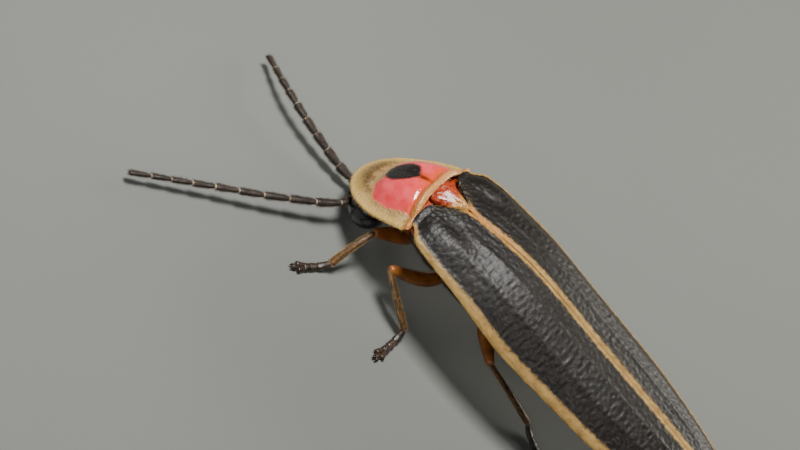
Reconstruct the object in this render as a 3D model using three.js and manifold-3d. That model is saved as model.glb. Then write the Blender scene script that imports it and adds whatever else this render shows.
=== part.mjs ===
// A firefly standing at rest, at life size in millimetres. It is drawn with its head toward -Y,
// its left side toward +X and the floor at zero height. The front end of the seam between its
// wing cases is at x = 0, y = 0, and the whole model is centred on its own outline at the end.

import * as THREE from 'three';
import { mergeVertices } from 'three/addons/utils/BufferGeometryUtils.js';
import Module from 'manifold-3d';

const wasm = await Module();
wasm.setup();

// Driving dimensions

const GAP = 0.2;                 // clearance between neighbouring pieces
const CASE_SHEET = 0.5;          // thickness of a wing case
const SHIELD_SHEET = 0.38;       // thickness of the shield over the head
const SEAM_HEIGHT = 3.1;         // height of the wing cases' seam at its front end

const SHIELD_BASE = { y: -0.85, z: 2.89 };
const SHIELD_PITCH = THREE.MathUtils.degToRad(39.4);
const SHIELD_HALF_WIDTH = 1.68;
const SHIELD_LENGTH = 2.7;
const SHIELD_NOSE_POWER = 0.86;  // below 1 the front edge is fuller than half an ellipse
const SHIELD_CENTRE = 1.05;      // forward distance from base to the middle of the shield
const SHIELD_SIDE_DROOP = 0.17;
const SHIELD_FRONT_DROOP = 0.05;
const SHIELD_DOME = 0.16;
const SHIELD_LIP = 0.07;

const CASE_FRONT = -0.42;
const CASE_TIP = 11.1;
const CASE_FRONT_ROUNDING = 0.55;
const CASE_TIP_ROUNDING = 0.75;
const CASE_CURVE_POWER = 2.5;    // how late the back falls away toward its side
const CASE_VEINS = [0.34, 0.62]; // where the two faint veins run, from seam to side
const CASE_VEIN = { height: 0.035, spread: 0.05, start: 0.6, end: 9.8, fade: 1.5 };
const SHOULDER = { across: 0.66, y: 0.55, height: 0.13, spread: 0.22, length: 0.75 };

const EYE_RADIUS = 0.48;
const EYE_CENTRE = new THREE.Vector3(0.74, -1.62, 0.88);
const HEAD_CENTRE = new THREE.Vector3(0, -1.5, 0.9);
const HEAD_SIZE = new THREE.Vector3(0.4, 0.6, 0.55);

const ANTENNA_SEGMENTS = 10;     // beyond the first, which is a piece of its own
const ANTENNA_RADIUS = 0.24;
const LEG_RADIUS = 0.24;
const FOOT_HEIGHT = 0.17;        // height of a foot's middle line over the floor

// Small helpers for numbers

const clamp = THREE.MathUtils.clamp;
const mix = THREE.MathUtils.lerp;
const bell = (distance, spread) => Math.exp(-((distance / spread) ** 2));

// How full a form is at a place from 0 to 1 along it: nothing at both ends, all in the middle.
function fullness(place, power) {
  const away = clamp(Math.abs(2 * place - 1), 0, 1);
  return Math.max(0, 1 - away ** power) ** (1 / power);
}

// How full a form is at a distance in from one end that is rounded over a given length.
function endRounding(distance, length, power) {
  const away = 1 - clamp(distance / length, 0, 1);
  return Math.max(0, 1 - away ** power) ** (1 / power);
}

// A smooth curve through a few measured [place, value] points.
function profile(...points) {
  const slope = (i) => {
    const before = points[Math.max(0, i - 1)];
    const after = points[Math.min(points.length - 1, i + 1)];
    return (after[1] - before[1]) / (after[0] - before[0]);
  };
  return (place) => {
    const at = clamp(place, points[0][0], points[points.length - 1][0]);
    let i = 0;
    while (i < points.length - 2 && at > points[i + 1][0]) i++;
    const span = points[i + 1][0] - points[i][0];
    const t = (at - points[i][0]) / span;
    const bend = t * t * (3 - 2 * t);
    const rise = slope(i) * span * t * (1 - t) ** 2 - slope(i + 1) * span * t * t * (1 - t);
    return mix(points[i][1], points[i + 1][1], bend) + rise;
  };
}

// Small helpers for solids

// A closed skin: the points of a sphere, each moved to where place(turn, reach) puts it. The
// turn goes once round the form, and the reach goes from 0 at one pole to 1 at the other.
function moulded(around, along, place) {
  const geometry = new THREE.SphereGeometry(1, around, along);
  const { position, uv } = geometry.attributes;
  for (let i = 0; i < position.count; i++) {
    const column = Math.round(uv.getX(i) * around * 2) / 2;
    const row = Math.round((1 - uv.getY(i)) * along);
    const turn = (2 * Math.PI * (column % around)) / around;
    position.setXYZ(i, ...place(turn, row / along));
  }
  return solidFrom(geometry);
}

function solidFrom(geometry) {
  geometry.deleteAttribute('normal');
  geometry.deleteAttribute('uv');
  const joined = mergeVertices(geometry, 1e-4);
  const vertProperties = Float32Array.from(joined.attributes.position.array);
  const triVerts = [];
  const index = joined.index.array;
  for (let i = 0; i < index.length; i += 3) {
    const [a, b, c] = [index[i], index[i + 1], index[i + 2]];
    if (a !== b && b !== c && c !== a) triVerts.push(a, b, c);
  }
  const solid = solidOf(vertProperties, Uint32Array.from(triVerts));
  if (solid.volume() > 0) return solid;
  return solidOf(vertProperties, Uint32Array.from(triVerts).reverse());
}

// The same solid with points that lie closer than a small distance joined into one, so that a
// cut leaves no sliver.
function withoutSlivers(solid, distance = 0.006) {
  const { vertProperties, triVerts } = solid.getMesh();
  const kept = [];
  const place = [];
  for (let i = 0; i < vertProperties.length; i += 3) {
    const [x, y, z] = vertProperties.slice(i, i + 3);
    const near = kept.findIndex((k) => Math.hypot(k[0] - x, k[1] - y, k[2] - z) < distance);
    place.push(near < 0 ? kept.push([x, y, z]) - 1 : near);
  }
  const corners = [];
  for (let i = 0; i < triVerts.length; i += 3) {
    const [a, b, c] = [place[triVerts[i]], place[triVerts[i + 1]], place[triVerts[i + 2]]];
    if (a !== b && b !== c && c !== a) corners.push(a, b, c);
  }
  const joined = solidOf(Float32Array.from(kept.flat()), Uint32Array.from(corners));
  return largest(joined);
}

function solidOf(vertProperties, triVerts) {
  const mesh = new wasm.Mesh({ numProp: 3, vertProperties, triVerts });
  return new wasm.Manifold(mesh);
}

function largest(solid) {
  return solid.decompose().sort((a, b) => b.volume() - a.volume())[0];
}

// The same solid with its skin moved out by a distance, for cutting a neighbour clear of it.
function grown(solid, distance) {
  const { vertProperties, triVerts } = solid.getMesh();
  const geometry = new THREE.BufferGeometry();
  geometry.setAttribute('position', new THREE.BufferAttribute(vertProperties.slice(), 3));
  geometry.setIndex(new THREE.BufferAttribute(triVerts.slice(), 1));
  geometry.computeVertexNormals();
  const { position, normal } = geometry.attributes;
  for (let i = 0; i < position.count; i++) {
    position.setXYZ(
      i,
      position.getX(i) + normal.getX(i) * distance,
      position.getY(i) + normal.getY(i) * distance,
      position.getZ(i) + normal.getZ(i) * distance,
    );
  }
  return solidFrom(geometry);
}

function cutClear(solid, ...neighbours) {
  const left = neighbours.reduce((sum, other) => sum.subtract(grown(other, GAP)), solid);
  if (left.isEmpty()) throw new Error('a piece was cut away whole');
  return largest(left);
}

function ellipsoid(centre, size, around = 16, along = 10) {
  return moulded(around, along, (turn, reach) => [
    centre.x + size.x * Math.sin(Math.PI * reach) * Math.cos(turn),
    centre.y - size.y * Math.cos(Math.PI * reach),
    centre.z + size.z * Math.sin(Math.PI * reach) * Math.sin(turn),
  ]);
}

// A closed form along Y, drawn through cross-sections, with blunt, softly rounded ends.
function barrel(front, back, section, around = 16, along = 7, power = 6) {
  return moulded(around, along, (turn, reach) => {
    const place = (1 - Math.cos(Math.PI * reach)) / 2;
    const { halfWidth, halfHeight, middle } = section(mix(front, back, place), place);
    const full = fullness(place, power);
    return [
      halfWidth * full * Math.cos(turn),
      mix(front, back, place),
      middle + halfHeight * full * Math.sin(turn),
    ];
  });
}

// A limb along a smooth path. radius(place) gives its half width and half height there.
function limb(points, radius, around = 8, along = 8, evenRows = false) {
  const path = new THREE.CatmullRomCurve3(points, false, 'centripetal');
  const up = new THREE.Vector3(0, 0, 1);
  return moulded(around, along, (turn, reach) => {
    const place = evenRows ? reach : (1 - Math.cos(Math.PI * reach)) / 2;
    const centre = path.getPointAt(place);
    const ahead = path.getTangentAt(place);
    const side = new THREE.Vector3().crossVectors(ahead, up).normalize();
    const over = new THREE.Vector3().crossVectors(side, ahead);
    const { across, high } = radius(place);
    const end = evenRows ? Number(reach > 0 && reach < 1) : fullness(place, 3);
    centre.addScaledVector(side, across * end * Math.cos(turn));
    centre.addScaledVector(over, high * end * Math.sin(turn));
    return centre.toArray();
  });
}

// Points as vectors, mirrored for the right side where side is -1.
function vectors(points, side = 1) {
  return points.map(([x, y, z]) => new THREE.Vector3(x * side, y, z));
}

// The model's group, and the finish of each kind of surface

const group = new THREE.Group();
group.name = 'firefly';

const FINISHES = {
  darkCase: { color: 0x2a221c, roughness: 0.6 },
  pinkShield: { color: 0xd8717a, roughness: 0.35 },
  eye: { color: 0x0b0a0a, roughness: 0.15 },
  blackLimb: { color: 0x2b2119, roughness: 0.5 },
  brownLimb: { color: 0x5a3a1e, roughness: 0.45 },
  orangeLimb: { color: 0xb4642a, roughness: 0.4 },
  orangeBody: { color: 0xb9693a, roughness: 0.45 },
  darkBody: { color: 0x3a2a1f, roughness: 0.5 },
  redPlate: { color: 0xb2422c, roughness: 0.25 },
  lantern: { color: 0xe6d98c, roughness: 0.45 },
};

// Each piece is drawn round its own middle and then placed in the group.
function addPiece(name, solid, finish) {
  const { vertProperties, triVerts } = withoutSlivers(largest(solid)).getMesh();
  const geometry = new THREE.BufferGeometry();
  geometry.setAttribute('position', new THREE.BufferAttribute(vertProperties.slice(), 3));
  geometry.setIndex(new THREE.BufferAttribute(triVerts.slice(), 1));
  geometry.computeBoundingBox();
  const middle = geometry.boundingBox.getCenter(new THREE.Vector3());
  geometry.translate(-middle.x, -middle.y, -middle.z);
  geometry.computeVertexNormals();
  const { color, roughness } = FINISHES[finish];
  const material = new THREE.MeshStandardMaterial({ color, roughness, metalness: 0 });
  const mesh = new THREE.Mesh(geometry, material);
  mesh.name = name;
  mesh.position.copy(middle);
  group.add(mesh);
}

const SIDES = { left: 1, right: -1 };

// The wing cases: two long, gently arched covers that meet along the middle of the back

const seamHeight = profile([-0.4, -0.1], [0, 0], [2.5, 0.4], [5.6, 0.2], [9.2, -0.08], [11.1, -0.34]);
const sideDrop = profile([-0.4, 0.42], [0, 0.49], [3.3, 1.08], [5.5, 1], [9.6, 0.73], [11.1, 0.3]);
const caseOuter = profile(
  [-0.42, 1.6], [0, 1.94], [1.6, 2.14], [3.3, 2.25], [5.5, 2.15],
  [7.5, 2], [9.6, 1.56], [10.5, 1.16], [11.1, 0.74],
);
const caseInner = profile(
  [-0.42, 0.62], [-0.1, 0.42], [0.35, GAP / 2], [2, GAP / 2], [10.4, GAP / 2], [11.1, 0.2],
);

// Height of the upper face of a wing case at a distance x from the midline.
function caseTop(x, y) {
  const across = x / caseOuter(y);
  const shoulder = bell(across - SHOULDER.across, SHOULDER.spread)
    * bell(y - SHOULDER.y, SHOULDER.length);
  const veins = CASE_VEINS.reduce((sum, vein) => sum + bell(across - vein, CASE_VEIN.spread), 0);
  const veinLength = endRounding(y - CASE_VEIN.start, CASE_VEIN.fade, 2)
    * endRounding(CASE_VEIN.end - y, CASE_VEIN.fade, 2);
  return SEAM_HEIGHT + seamHeight(y)
    - sideDrop(y) * Math.min(1, across) ** CASE_CURVE_POWER
    + SHOULDER.height * shoulder
    + CASE_VEIN.height * veins * veinLength;
}

function wingCase(side) {
  const around = 24;
  const along = 27;
  return moulded(around, along, (turn, reach) => {
    const place = mix(reach, (1 - Math.cos(Math.PI * reach)) / 2, 0.8);
    const y = mix(CASE_FRONT, CASE_TIP, place);
    const full = endRounding(y - CASE_FRONT, CASE_FRONT_ROUNDING, 3)
      * endRounding(CASE_TIP - y, CASE_TIP_ROUNDING, 2);
    const middle = (caseInner(y) + caseOuter(y)) / 2;
    const halfWidth = ((caseOuter(y) - caseInner(y)) / 2) * full;
    const x = middle - halfWidth * Math.cos(turn);
    const step = 0.02;
    const slope = (caseTop(x + step, y) - caseTop(x - step, y)) / (2 * step);
    const tilt = Math.hypot(1, slope);
    const swing = Math.sin(turn);
    const face = Math.sign(swing) * Math.abs(swing) ** 0.6 * full;
    const depth = (CASE_SHEET / 2) * (1 - face);
    return [side * (x + (slope / tilt) * depth), y, caseTop(x, y) - depth / tilt];
  });
}

const wingCases = {};
for (const [sideName, side] of Object.entries(SIDES)) {
  wingCases[sideName] = wingCase(side);
  addPiece(`elytron_${sideName}`, wingCases[sideName], 'darkCase');
}

// The shield over the head: a wide plate that slopes down to the front, with a domed middle

const forward = new THREE.Vector3(0, -Math.cos(SHIELD_PITCH), -Math.sin(SHIELD_PITCH));
const outward = new THREE.Vector3(0, -Math.sin(SHIELD_PITCH), Math.cos(SHIELD_PITCH));

// A place in the shield's own directions: across, forward from its base, and out of its face.
function onShield(across, ahead, out) {
  return new THREE.Vector3(across, SHIELD_BASE.y, SHIELD_BASE.z)
    .addScaledVector(forward, ahead)
    .addScaledVector(outward, out);
}

function shieldEdge(turn) {
  const cosine = Math.cos(turn);
  const sine = Math.sin(turn);
  if (sine >= 0) return [SHIELD_HALF_WIDTH * cosine, SHIELD_LENGTH * sine ** SHIELD_NOSE_POWER];
  return [
    SHIELD_HALF_WIDTH * Math.sign(cosine) * Math.abs(cosine) ** 0.35,
    -0.1 * Math.abs(sine) ** 0.5,
  ];
}

const shield = moulded(36, 14, (turn, reach) => {
  const spread = Math.sin(Math.PI * reach) ** 0.8;
  const [edgeAcross, edgeAhead] = shieldEdge(turn);
  const across = edgeAcross * spread;
  const ahead = mix(SHIELD_CENTRE, edgeAhead, spread);
  const dome = SHIELD_DOME * bell(across, 1.1) * bell(ahead - 0.9, 1.1);
  const lip = SHIELD_LIP * bell(spread - 0.97, 0.1) * clamp(edgeAhead, 0, 1);
  const surface = dome + lip - SHIELD_SIDE_DROOP * across ** 2 - SHIELD_FRONT_DROOP * ahead ** 2;
  const top = reach <= 0.5;
  const edge = Math.max(0, 1 - spread ** 5) ** 0.5;
  const out = surface - (SHIELD_SHEET / 2) * (top ? 1 - edge : 1 + edge);
  return onShield(across, ahead, out).toArray();
});
addPiece('pronotum', shield, 'pinkShield');

// The small plates between the shield and the wing cases

const scutellum = cutClear(
  moulded(14, 10, (turn, reach) => {
    const place = (1 - Math.cos(Math.PI * reach)) / 2;
    const y = mix(-0.72, 0.22, place);
    const halfWidth = mix(0.62, 0.2, place) * fullness(place, 3);
    const halfHeight = 0.24 * fullness(place, 4);
    return [halfWidth * Math.cos(turn), y, mix(2.72, 2.88, place) + halfHeight * Math.sin(turn)];
  }),
  shield,
  wingCases.left,
  wingCases.right,
);
addPiece('scutellum', scutellum, 'redPlate');

// The three parts of the thorax

const prothorax = cutClear(
  barrel(-1.15, -0.2, (y, place) => ({
    halfWidth: mix(0.62, 1.02, place),
    halfHeight: mix(0.42, 0.55, place),
    middle: mix(1.6, 1.98, place),
  }), 16, 7, 4),
  shield,
);
addPiece('prothorax', prothorax, 'orangeBody');

const mesothorax = cutClear(
  barrel(-0.5, 0.85, (y, place) => ({
    halfWidth: mix(1.2, 1.45, place),
    halfHeight: mix(0.38, 0.5, place),
    middle: mix(1.95, 1.86, place),
  })),
  prothorax,
);
addPiece('mesothorax', mesothorax, 'darkBody');

const metathorax = barrel(0.85 + GAP, 2.75, (y, place) => ({
  halfWidth: mix(1.45, 1.56, place),
  halfHeight: mix(0.56, 0.66, place),
  middle: mix(1.92, 2.08, place),
}));
addPiece('metathorax', metathorax, 'darkBody');

// The belly: seven rings that narrow to the tail, the fifth and sixth of them the pale lanterns

const bellyHalfWidth = profile([2.9, 1.55], [5, 1.55], [7.5, 1.38], [9, 1.05], [10.3, 0.55]);
const bellyHalfHeight = profile([2.9, 0.62], [5, 0.62], [7.5, 0.52], [9, 0.42], [10.3, 0.26]);
const bellyMiddle = profile([2.9, 2.08], [5, 2.05], [7.5, 1.95], [9, 1.98], [10.3, 2.02]);
const BELLY_RINGS = [
  ['abdomen_2', 1.05, 'darkBody'],
  ['abdomen_3', 1.05, 'darkBody'],
  ['abdomen_4', 1.05, 'darkBody'],
  ['abdomen_5', 1.05, 'darkBody'],
  ['lantern_6', 1.15, 'lantern'],
  ['lantern_7', 1.2, 'lantern'],
  ['abdomen_tip', 0.8, 'orangeBody'],
];

let ringFront = 2.75 + GAP;
for (const [name, pitch, finish] of BELLY_RINGS) {
  const ring = barrel(ringFront, ringFront + pitch - GAP, (y, place) => {
    const flare = 1 + 0.05 * place;
    return {
      halfWidth: bellyHalfWidth(y) * flare,
      halfHeight: bellyHalfHeight(y) * flare,
      middle: bellyMiddle(y),
    };
  });
  addPiece(name, ring, finish);
  ringFront += pitch;
}

// The head under the shield, with its two great eyes, its jaws and its palps

const headCore = ellipsoid(HEAD_CENTRE, HEAD_SIZE, 14, 9);
const brow = ellipsoid(new THREE.Vector3(0, -1.98, 0.68), new THREE.Vector3(0.3, 0.22, 0.26), 10, 6);
const head = cutClear(headCore.add(brow), shield, prothorax);
addPiece('head', head, 'darkBody');

const JAW = [[0.1, -2.05, 0.56], [0.2, -2.35, 0.42], [0.08, -2.56, 0.34]];
const PALP = [[0.24, -1.7, 0.44], [0.42, -1.86, 0.27], [0.46, -2.06, 0.19]];
const jawRadius = (place) => ({ across: mix(0.12, 0.05, place), high: mix(0.13, 0.06, place) });
const palpRadius = (place) => ({ across: mix(0.11, 0.12, place), high: mix(0.11, 0.12, place) });

for (const [sideName, side] of Object.entries(SIDES)) {
  const centre = EYE_CENTRE.clone().setX(EYE_CENTRE.x * side);
  const size = new THREE.Vector3(EYE_RADIUS, EYE_RADIUS, EYE_RADIUS);
  const eye = cutClear(ellipsoid(centre, size, 16, 10), headCore, shield);
  addPiece(`eye_${sideName}`, eye, 'eye');

  const jaw = limb(vectors(JAW, side), jawRadius, 8, 7);
  const palp = limb(vectors(PALP, side), palpRadius, 8, 7);
  addPiece(`mandible_${sideName}`, cutClear(jaw, head), 'brownLimb');
  addPiece(`palp_${sideName}`, cutClear(palp, head), 'brownLimb');
}

// The feelers: a stout first segment, then ten more along one gentle curve

const ANTENNAE = {
  left: {
    base: [[0.2, -1.95, 0.8], [0.42, -2.28, 0.6], [0.74, -2.46, 0.48]],
    rest: [
      [0.64, -2.42, 0.5], [1.3, -2.7, 0.52], [2.55, -3.62, 0.62],
      [4.05, -5.12, 0.48], [5.8, -6.82, 0.36],
    ],
  },
  right: {
    base: [[-0.22, -1.95, 0.8], [-0.27, -2.2, 0.54], [-0.26, -2.45, 0.34]],
    rest: [
      [-0.26, -2.38, 0.36], [-0.12, -2.8, 0.27], [-0.1, -4.2, 0.58],
      [-0.38, -5.6, 0.66], [-1.02, -6.86, 0.38],
    ],
  },
};

const scapeRadius = () => ({ across: ANTENNA_RADIUS, high: ANTENNA_RADIUS });

function antennaRadius(place) {
  const within = (place * ANTENNA_SEGMENTS) % 1;
  const joint = within < 0.05 || within > 0.95 ? 0.8 : 1;
  const taper = mix(1, 0.62, place ** 2);
  return { across: ANTENNA_RADIUS * joint * taper, high: ANTENNA_RADIUS * joint * taper * 0.92 };
}

for (const [sideName, { base, rest }] of Object.entries(ANTENNAE)) {
  const first = limb(vectors(base), scapeRadius, 8, 7);
  const scape = cutClear(first, head, shield);
  const flagellum = limb(vectors(rest), antennaRadius, 8, 2 * ANTENNA_SEGMENTS, true);
  addPiece(`antenna_base_${sideName}`, scape, 'blackLimb');
  addPiece(`antenna_${sideName}`, cutClear(flagellum, scape), 'blackLimb');
}

// The six legs: the lines of hip, thigh and shin, and where each foot lies on the floor

const LEGS = {
  front_left: {
    hip: [[0.34, -0.75, 1.3], [0.44, -0.2, 1]],
    thigh: [[0.44, -0.2, 1], [0.98, -0.7, 1.16], [1.47, -1.05, 1.23]],
    shin: [[1.47, -1.05, 1.23], [2.6, -1.26, 0.36]],
    foot: [[3, -1.54], [3.38, -1.81], [3.52, -1.93]],
  },
  mid_left: {
    hip: [[0.36, 0.6, 1.45], [0.44, 1.25, 1.02]],
    thigh: [[0.44, 1.25, 1.02], [1.1, 0.82, 1.0], [1.9, -0.02, 1.15]],
    shin: [[1.9, -0.02, 1.15], [2.12, 0.7, 0.78], [2.28, 1.49, 0.34]],
    foot: [[2.8, 1.52], [3.3, 1.5], [3.5, 1.49]],
  },
  hind_left: {
    hip: [[0.3, 2.2, 1.45], [0.56, 2.75, 1.06]],
    thigh: [[0.56, 2.75, 1.06], [1.05, 3.35, 1.08], [1.56, 3.84, 1.14]],
    shin: [[1.56, 3.84, 1.14], [1.48, 4.8, 0.8], [1.27, 5.8, 0.34]],
    foot: [[1.44, 6.24], [1.66, 6.75], [1.74, 6.95]],
  },
  front_right: {
    hip: [[-0.34, -0.75, 1.3], [-0.44, -0.2, 1]],
    thigh: [[-0.44, -0.2, 1], [-0.98, -0.5, 1.16], [-1.5, -0.72, 1.23]],
    shin: [[-1.5, -0.72, 1.23], [-2.2, -0.66, 0.36]],
    foot: [[-2.5, -0.82], [-2.78, -0.98], [-2.92, -1.06]],
  },
  mid_right: {
    hip: [[-0.36, 0.6, 1.45], [-0.44, 1.25, 1.02]],
    thigh: [[-0.44, 1.25, 1.02], [-1.12, 0.9, 1.0], [-1.86, 0.18, 1.15]],
    shin: [[-1.86, 0.18, 1.15], [-2.06, 0.9, 0.78], [-2.18, 1.72, 0.34]],
    foot: [[-2.66, 1.86], [-3.12, 1.96], [-3.3, 2]],
  },
  hind_right: {
    hip: [[-0.3, 2.2, 1.45], [-0.56, 2.75, 1.06]],
    thigh: [[-0.56, 2.75, 1.06], [-1.08, 3.25, 1.08], [-1.62, 3.68, 1.14]],
    shin: [[-1.62, 3.68, 1.14], [-1.66, 4.6, 0.8], [-1.6, 5.52, 0.34]],
    foot: [[-1.82, 5.98], [-2.06, 6.42], [-2.15, 6.6]],
  },
};

const BELOW_FLOOR = solidFrom(new THREE.BoxGeometry(40, 40, 4).translate(0, 0, -2));
const hipRadius = (place) => ({ across: mix(0.36, 0.25, place), high: mix(0.36, 0.25, place) });
const thighRadius = (place) => {
  const swell = LEG_RADIUS + 0.05 * bell(place - 0.45, 0.3);
  return { across: swell, high: swell };
};
const shinRadius = (place) => ({ across: mix(0.23, 0.25, place), high: mix(0.23, 0.24, place) });
const footRadius = (place) => {
  const lobes = 1 + 0.14 * Math.sin(Math.PI * 5 * place) ** 2 + 0.12 * bell(place - 0.8, 0.12);
  return { across: 0.21 * lobes, high: 0.21 };
};

const clawRadius = (place) => ({ across: mix(0.11, 0.04, place), high: mix(0.1, 0.04, place) });

// Two curved claws at the end of a foot, spread a little to either side.
function claws(foot) {
  const end = new THREE.Vector3(...foot[foot.length - 1]);
  const ahead = end.clone().sub(new THREE.Vector3(...foot[foot.length - 2])).setZ(0).normalize();
  const side = new THREE.Vector3(-ahead.y, ahead.x, 0);
  return [-1, 1].map((hand) => {
    const at = (far, wide, high) => end.clone()
      .addScaledVector(ahead, far)
      .addScaledVector(side, wide * hand)
      .setZ(high);
    const path = [at(-0.12, 0.05, 0.16), at(0.16, 0.15, 0.2), at(0.34, 0.16, 0.08)];
    return limb(path, clawRadius, 5, 4);
  });
}

const hipHosts = { front: prothorax, mid: mesothorax, hind: metathorax };

for (const [legName, { hip, thigh, shin, foot }] of Object.entries(LEGS)) {
  const host = hipHosts[legName.split('_')[0]];
  const coxa = cutClear(limb(vectors(hip), hipRadius, 10, 8), host, metathorax, mesothorax);
  const femur = cutClear(limb(vectors(thigh), thighRadius, 8, 9), coxa, mesothorax, metathorax);
  const tibia = cutClear(limb(vectors(shin), shinRadius, 8, 8), femur);
  const ankle = shin[shin.length - 1];
  const footPath = [ankle, ...foot.map(([x, y]) => [x, y, FOOT_HEIGHT])];
  const sole = limb(vectors(footPath), footRadius, 8, 12, true);
  const wholeFoot = claws(footPath).reduce((sum, claw) => sum.add(claw), sole);
  const tarsus = cutClear(wholeFoot.subtract(BELOW_FLOOR), tibia);
  addPiece(`coxa_${legName}`, coxa, 'orangeLimb');
  addPiece(`femur_${legName}`, femur, 'orangeLimb');
  addPiece(`tibia_${legName}`, tibia, 'brownLimb');
  addPiece(`tarsus_${legName}`, tarsus, 'blackLimb');
}

// The model is centred over the middle of its own outline, standing on the floor.

const outline = new THREE.Box3().setFromObject(group);
const centre = outline.getCenter(new THREE.Vector3());
group.position.set(-centre.x, -centre.y, -outline.min.z);
group.updateMatrixWorld(true);

export default group;
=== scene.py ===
# %% [markdown]
# # A firefly, from the loose frame to the finished beetle
#
# The solid model gives every piece its place and size. This lesson dresses it: each piece of the
# frame is replaced by a finer one, with the thin legs, ringed feelers, down and glossy plates of
# the living beetle. The script works in millimetres measured from the front end of the seam
# between the wing cases, and turns them into the frame's metres at one place.

# %% Load the frame
import bpy
import math
import numpy as np
from mathutils import Matrix, Vector


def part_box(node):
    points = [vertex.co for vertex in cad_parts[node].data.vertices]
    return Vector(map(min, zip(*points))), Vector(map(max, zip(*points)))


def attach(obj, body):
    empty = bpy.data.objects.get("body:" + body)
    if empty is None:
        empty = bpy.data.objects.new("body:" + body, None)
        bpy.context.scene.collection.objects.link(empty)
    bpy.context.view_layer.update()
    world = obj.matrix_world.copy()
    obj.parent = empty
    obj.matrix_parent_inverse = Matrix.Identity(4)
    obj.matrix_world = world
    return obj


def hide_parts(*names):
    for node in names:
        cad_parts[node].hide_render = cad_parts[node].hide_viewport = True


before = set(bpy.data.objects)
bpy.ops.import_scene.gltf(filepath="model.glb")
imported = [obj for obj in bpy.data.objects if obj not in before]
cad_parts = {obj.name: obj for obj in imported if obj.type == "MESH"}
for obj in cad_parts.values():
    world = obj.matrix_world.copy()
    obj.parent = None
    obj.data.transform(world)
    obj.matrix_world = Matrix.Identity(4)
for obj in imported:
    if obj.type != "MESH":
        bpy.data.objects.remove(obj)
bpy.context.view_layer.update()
print("frame nodes:", len(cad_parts))

# %% [markdown]
# The wing cases tell where the seam lies: midway between them, with their tips 11.1 mm behind it.
# Everything else is placed from that point.

# %% Millimetres from the front of the seam
MM = 0.001
CASE_TIP = 11.1
left_low, left_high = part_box("elytron_left")
right_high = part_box("elytron_right")[1]
SEAM = np.array([(left_low[0] + right_high[0]) / 2, left_high[1] - CASE_TIP * MM, 0.0])


def metres(points):
    """Points in millimetres from the seam's front end, as points of the frame in metres."""
    return np.asarray(points, dtype=float) * MM + SEAM


print("seam starts at", [round(float(v) / MM, 2) for v in SEAM], "mm")

# %% [markdown]
# Six small number helpers are used all over: a blend and a soft one, a bump, a rounded end,
# a form rounded at both ends, and a smooth curve through a few measured places.

# %% Number helpers


def mix(a, b, t):
    return a + (b - a) * t


def bell(distance, spread):
    return np.exp(-((distance / spread) ** 2))


def soft(t):
    t = np.clip(t, 0, 1)
    return t * t * (3 - 2 * t)


def end_rounding(distance, length, power):
    away = 1 - np.clip(distance / length, 0, 1)
    return np.maximum(0, 1 - away ** power) ** (1 / power)


def fullness(place, power):
    return np.maximum(0, 1 - np.abs(2 * place - 1) ** power) ** (1 / power)


def profile(*points):
    """A smooth curve through [place, value] points, flat beyond its ends."""
    places = np.array([p[0] for p in points], dtype=float)
    values = np.array([p[1] for p in points], dtype=float)
    before = np.maximum(np.arange(len(points)) - 1, 0)
    after = np.minimum(np.arange(len(points)) + 1, len(points) - 1)
    slopes = (values[after] - values[before]) / (places[after] - places[before])

    def curve(place):
        at = np.clip(place, places[0], places[-1])
        i = np.clip(np.searchsorted(places, at, side="left") - 1, 0, len(points) - 2)
        span = places[i + 1] - places[i]
        t = (at - places[i]) / span
        rise = slopes[i] * span * t * (1 - t) ** 2 - slopes[i + 1] * span * t * t * (1 - t)
        return mix(values[i], values[i + 1], t * t * (3 - 2 * t)) + rise

    return curve


# %% [markdown]
# The horny skin is covered in granules. They are real relief here: random heights on a square
# lattice, less the mean of their neighbours, so that the grain has no slow waves in it.

# %% Granules


def speckle(x, y, size, seed):
    """Smooth random heights from -1 to 1, about `size` millimetres from grain to grain."""
    heights = np.random.default_rng(seed).uniform(-1, 1, (512, 512))
    around = [np.roll(heights, (i, j), (0, 1)) for i in (-1, 0, 1) for j in (-1, 0, 1)]
    heights = heights - sum(around) / 9
    across, along = x / size + 100, y / size + 100
    column, row = np.floor(across).astype(int), np.floor(along).astype(int)
    u, v = soft(across - column), soft(along - row)
    corner = [heights[(column + i) % 512, (row + j) % 512] for i in (0, 1) for j in (0, 1)]
    return mix(mix(corner[0], corner[1], v), mix(corner[2], corner[3], v), u)


# %% [markdown]
# The camera looks from the animal's left and above, square to the body, and is rolled so that the
# body runs from upper left to lower right. Its distance and lens give 36 pixels to a millimetre
# at the front of the seam.

# %% Camera
PICTURE = (800, 450)
PIXELS_PER_MM = 36.0
SEAM_PIXEL = (462.0, 203.0)
SEAM_HEIGHT = 3.1
LENS = 150.0
SENSOR = 36.0
ELEVATION = math.radians(47)
ROLL = math.radians(47)

tailward = np.array([0.0, 1.0, 0.0])
upward = np.array([-math.sin(ELEVATION), 0.0, math.cos(ELEVATION)])
right = math.cos(ROLL) * tailward + math.sin(ROLL) * upward
up = -math.sin(ROLL) * tailward + math.cos(ROLL) * upward
toward_camera = np.cross(right, up)
distance = PICTURE[0] / PIXELS_PER_MM * LENS / SENSOR
aim = np.array([0.0, 0.0, SEAM_HEIGHT])
aim += right * (PICTURE[0] / 2 - SEAM_PIXEL[0]) / PIXELS_PER_MM
aim -= up * (PICTURE[1] / 2 - SEAM_PIXEL[1]) / PIXELS_PER_MM
eye_point = metres(aim + toward_camera * distance)

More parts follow.
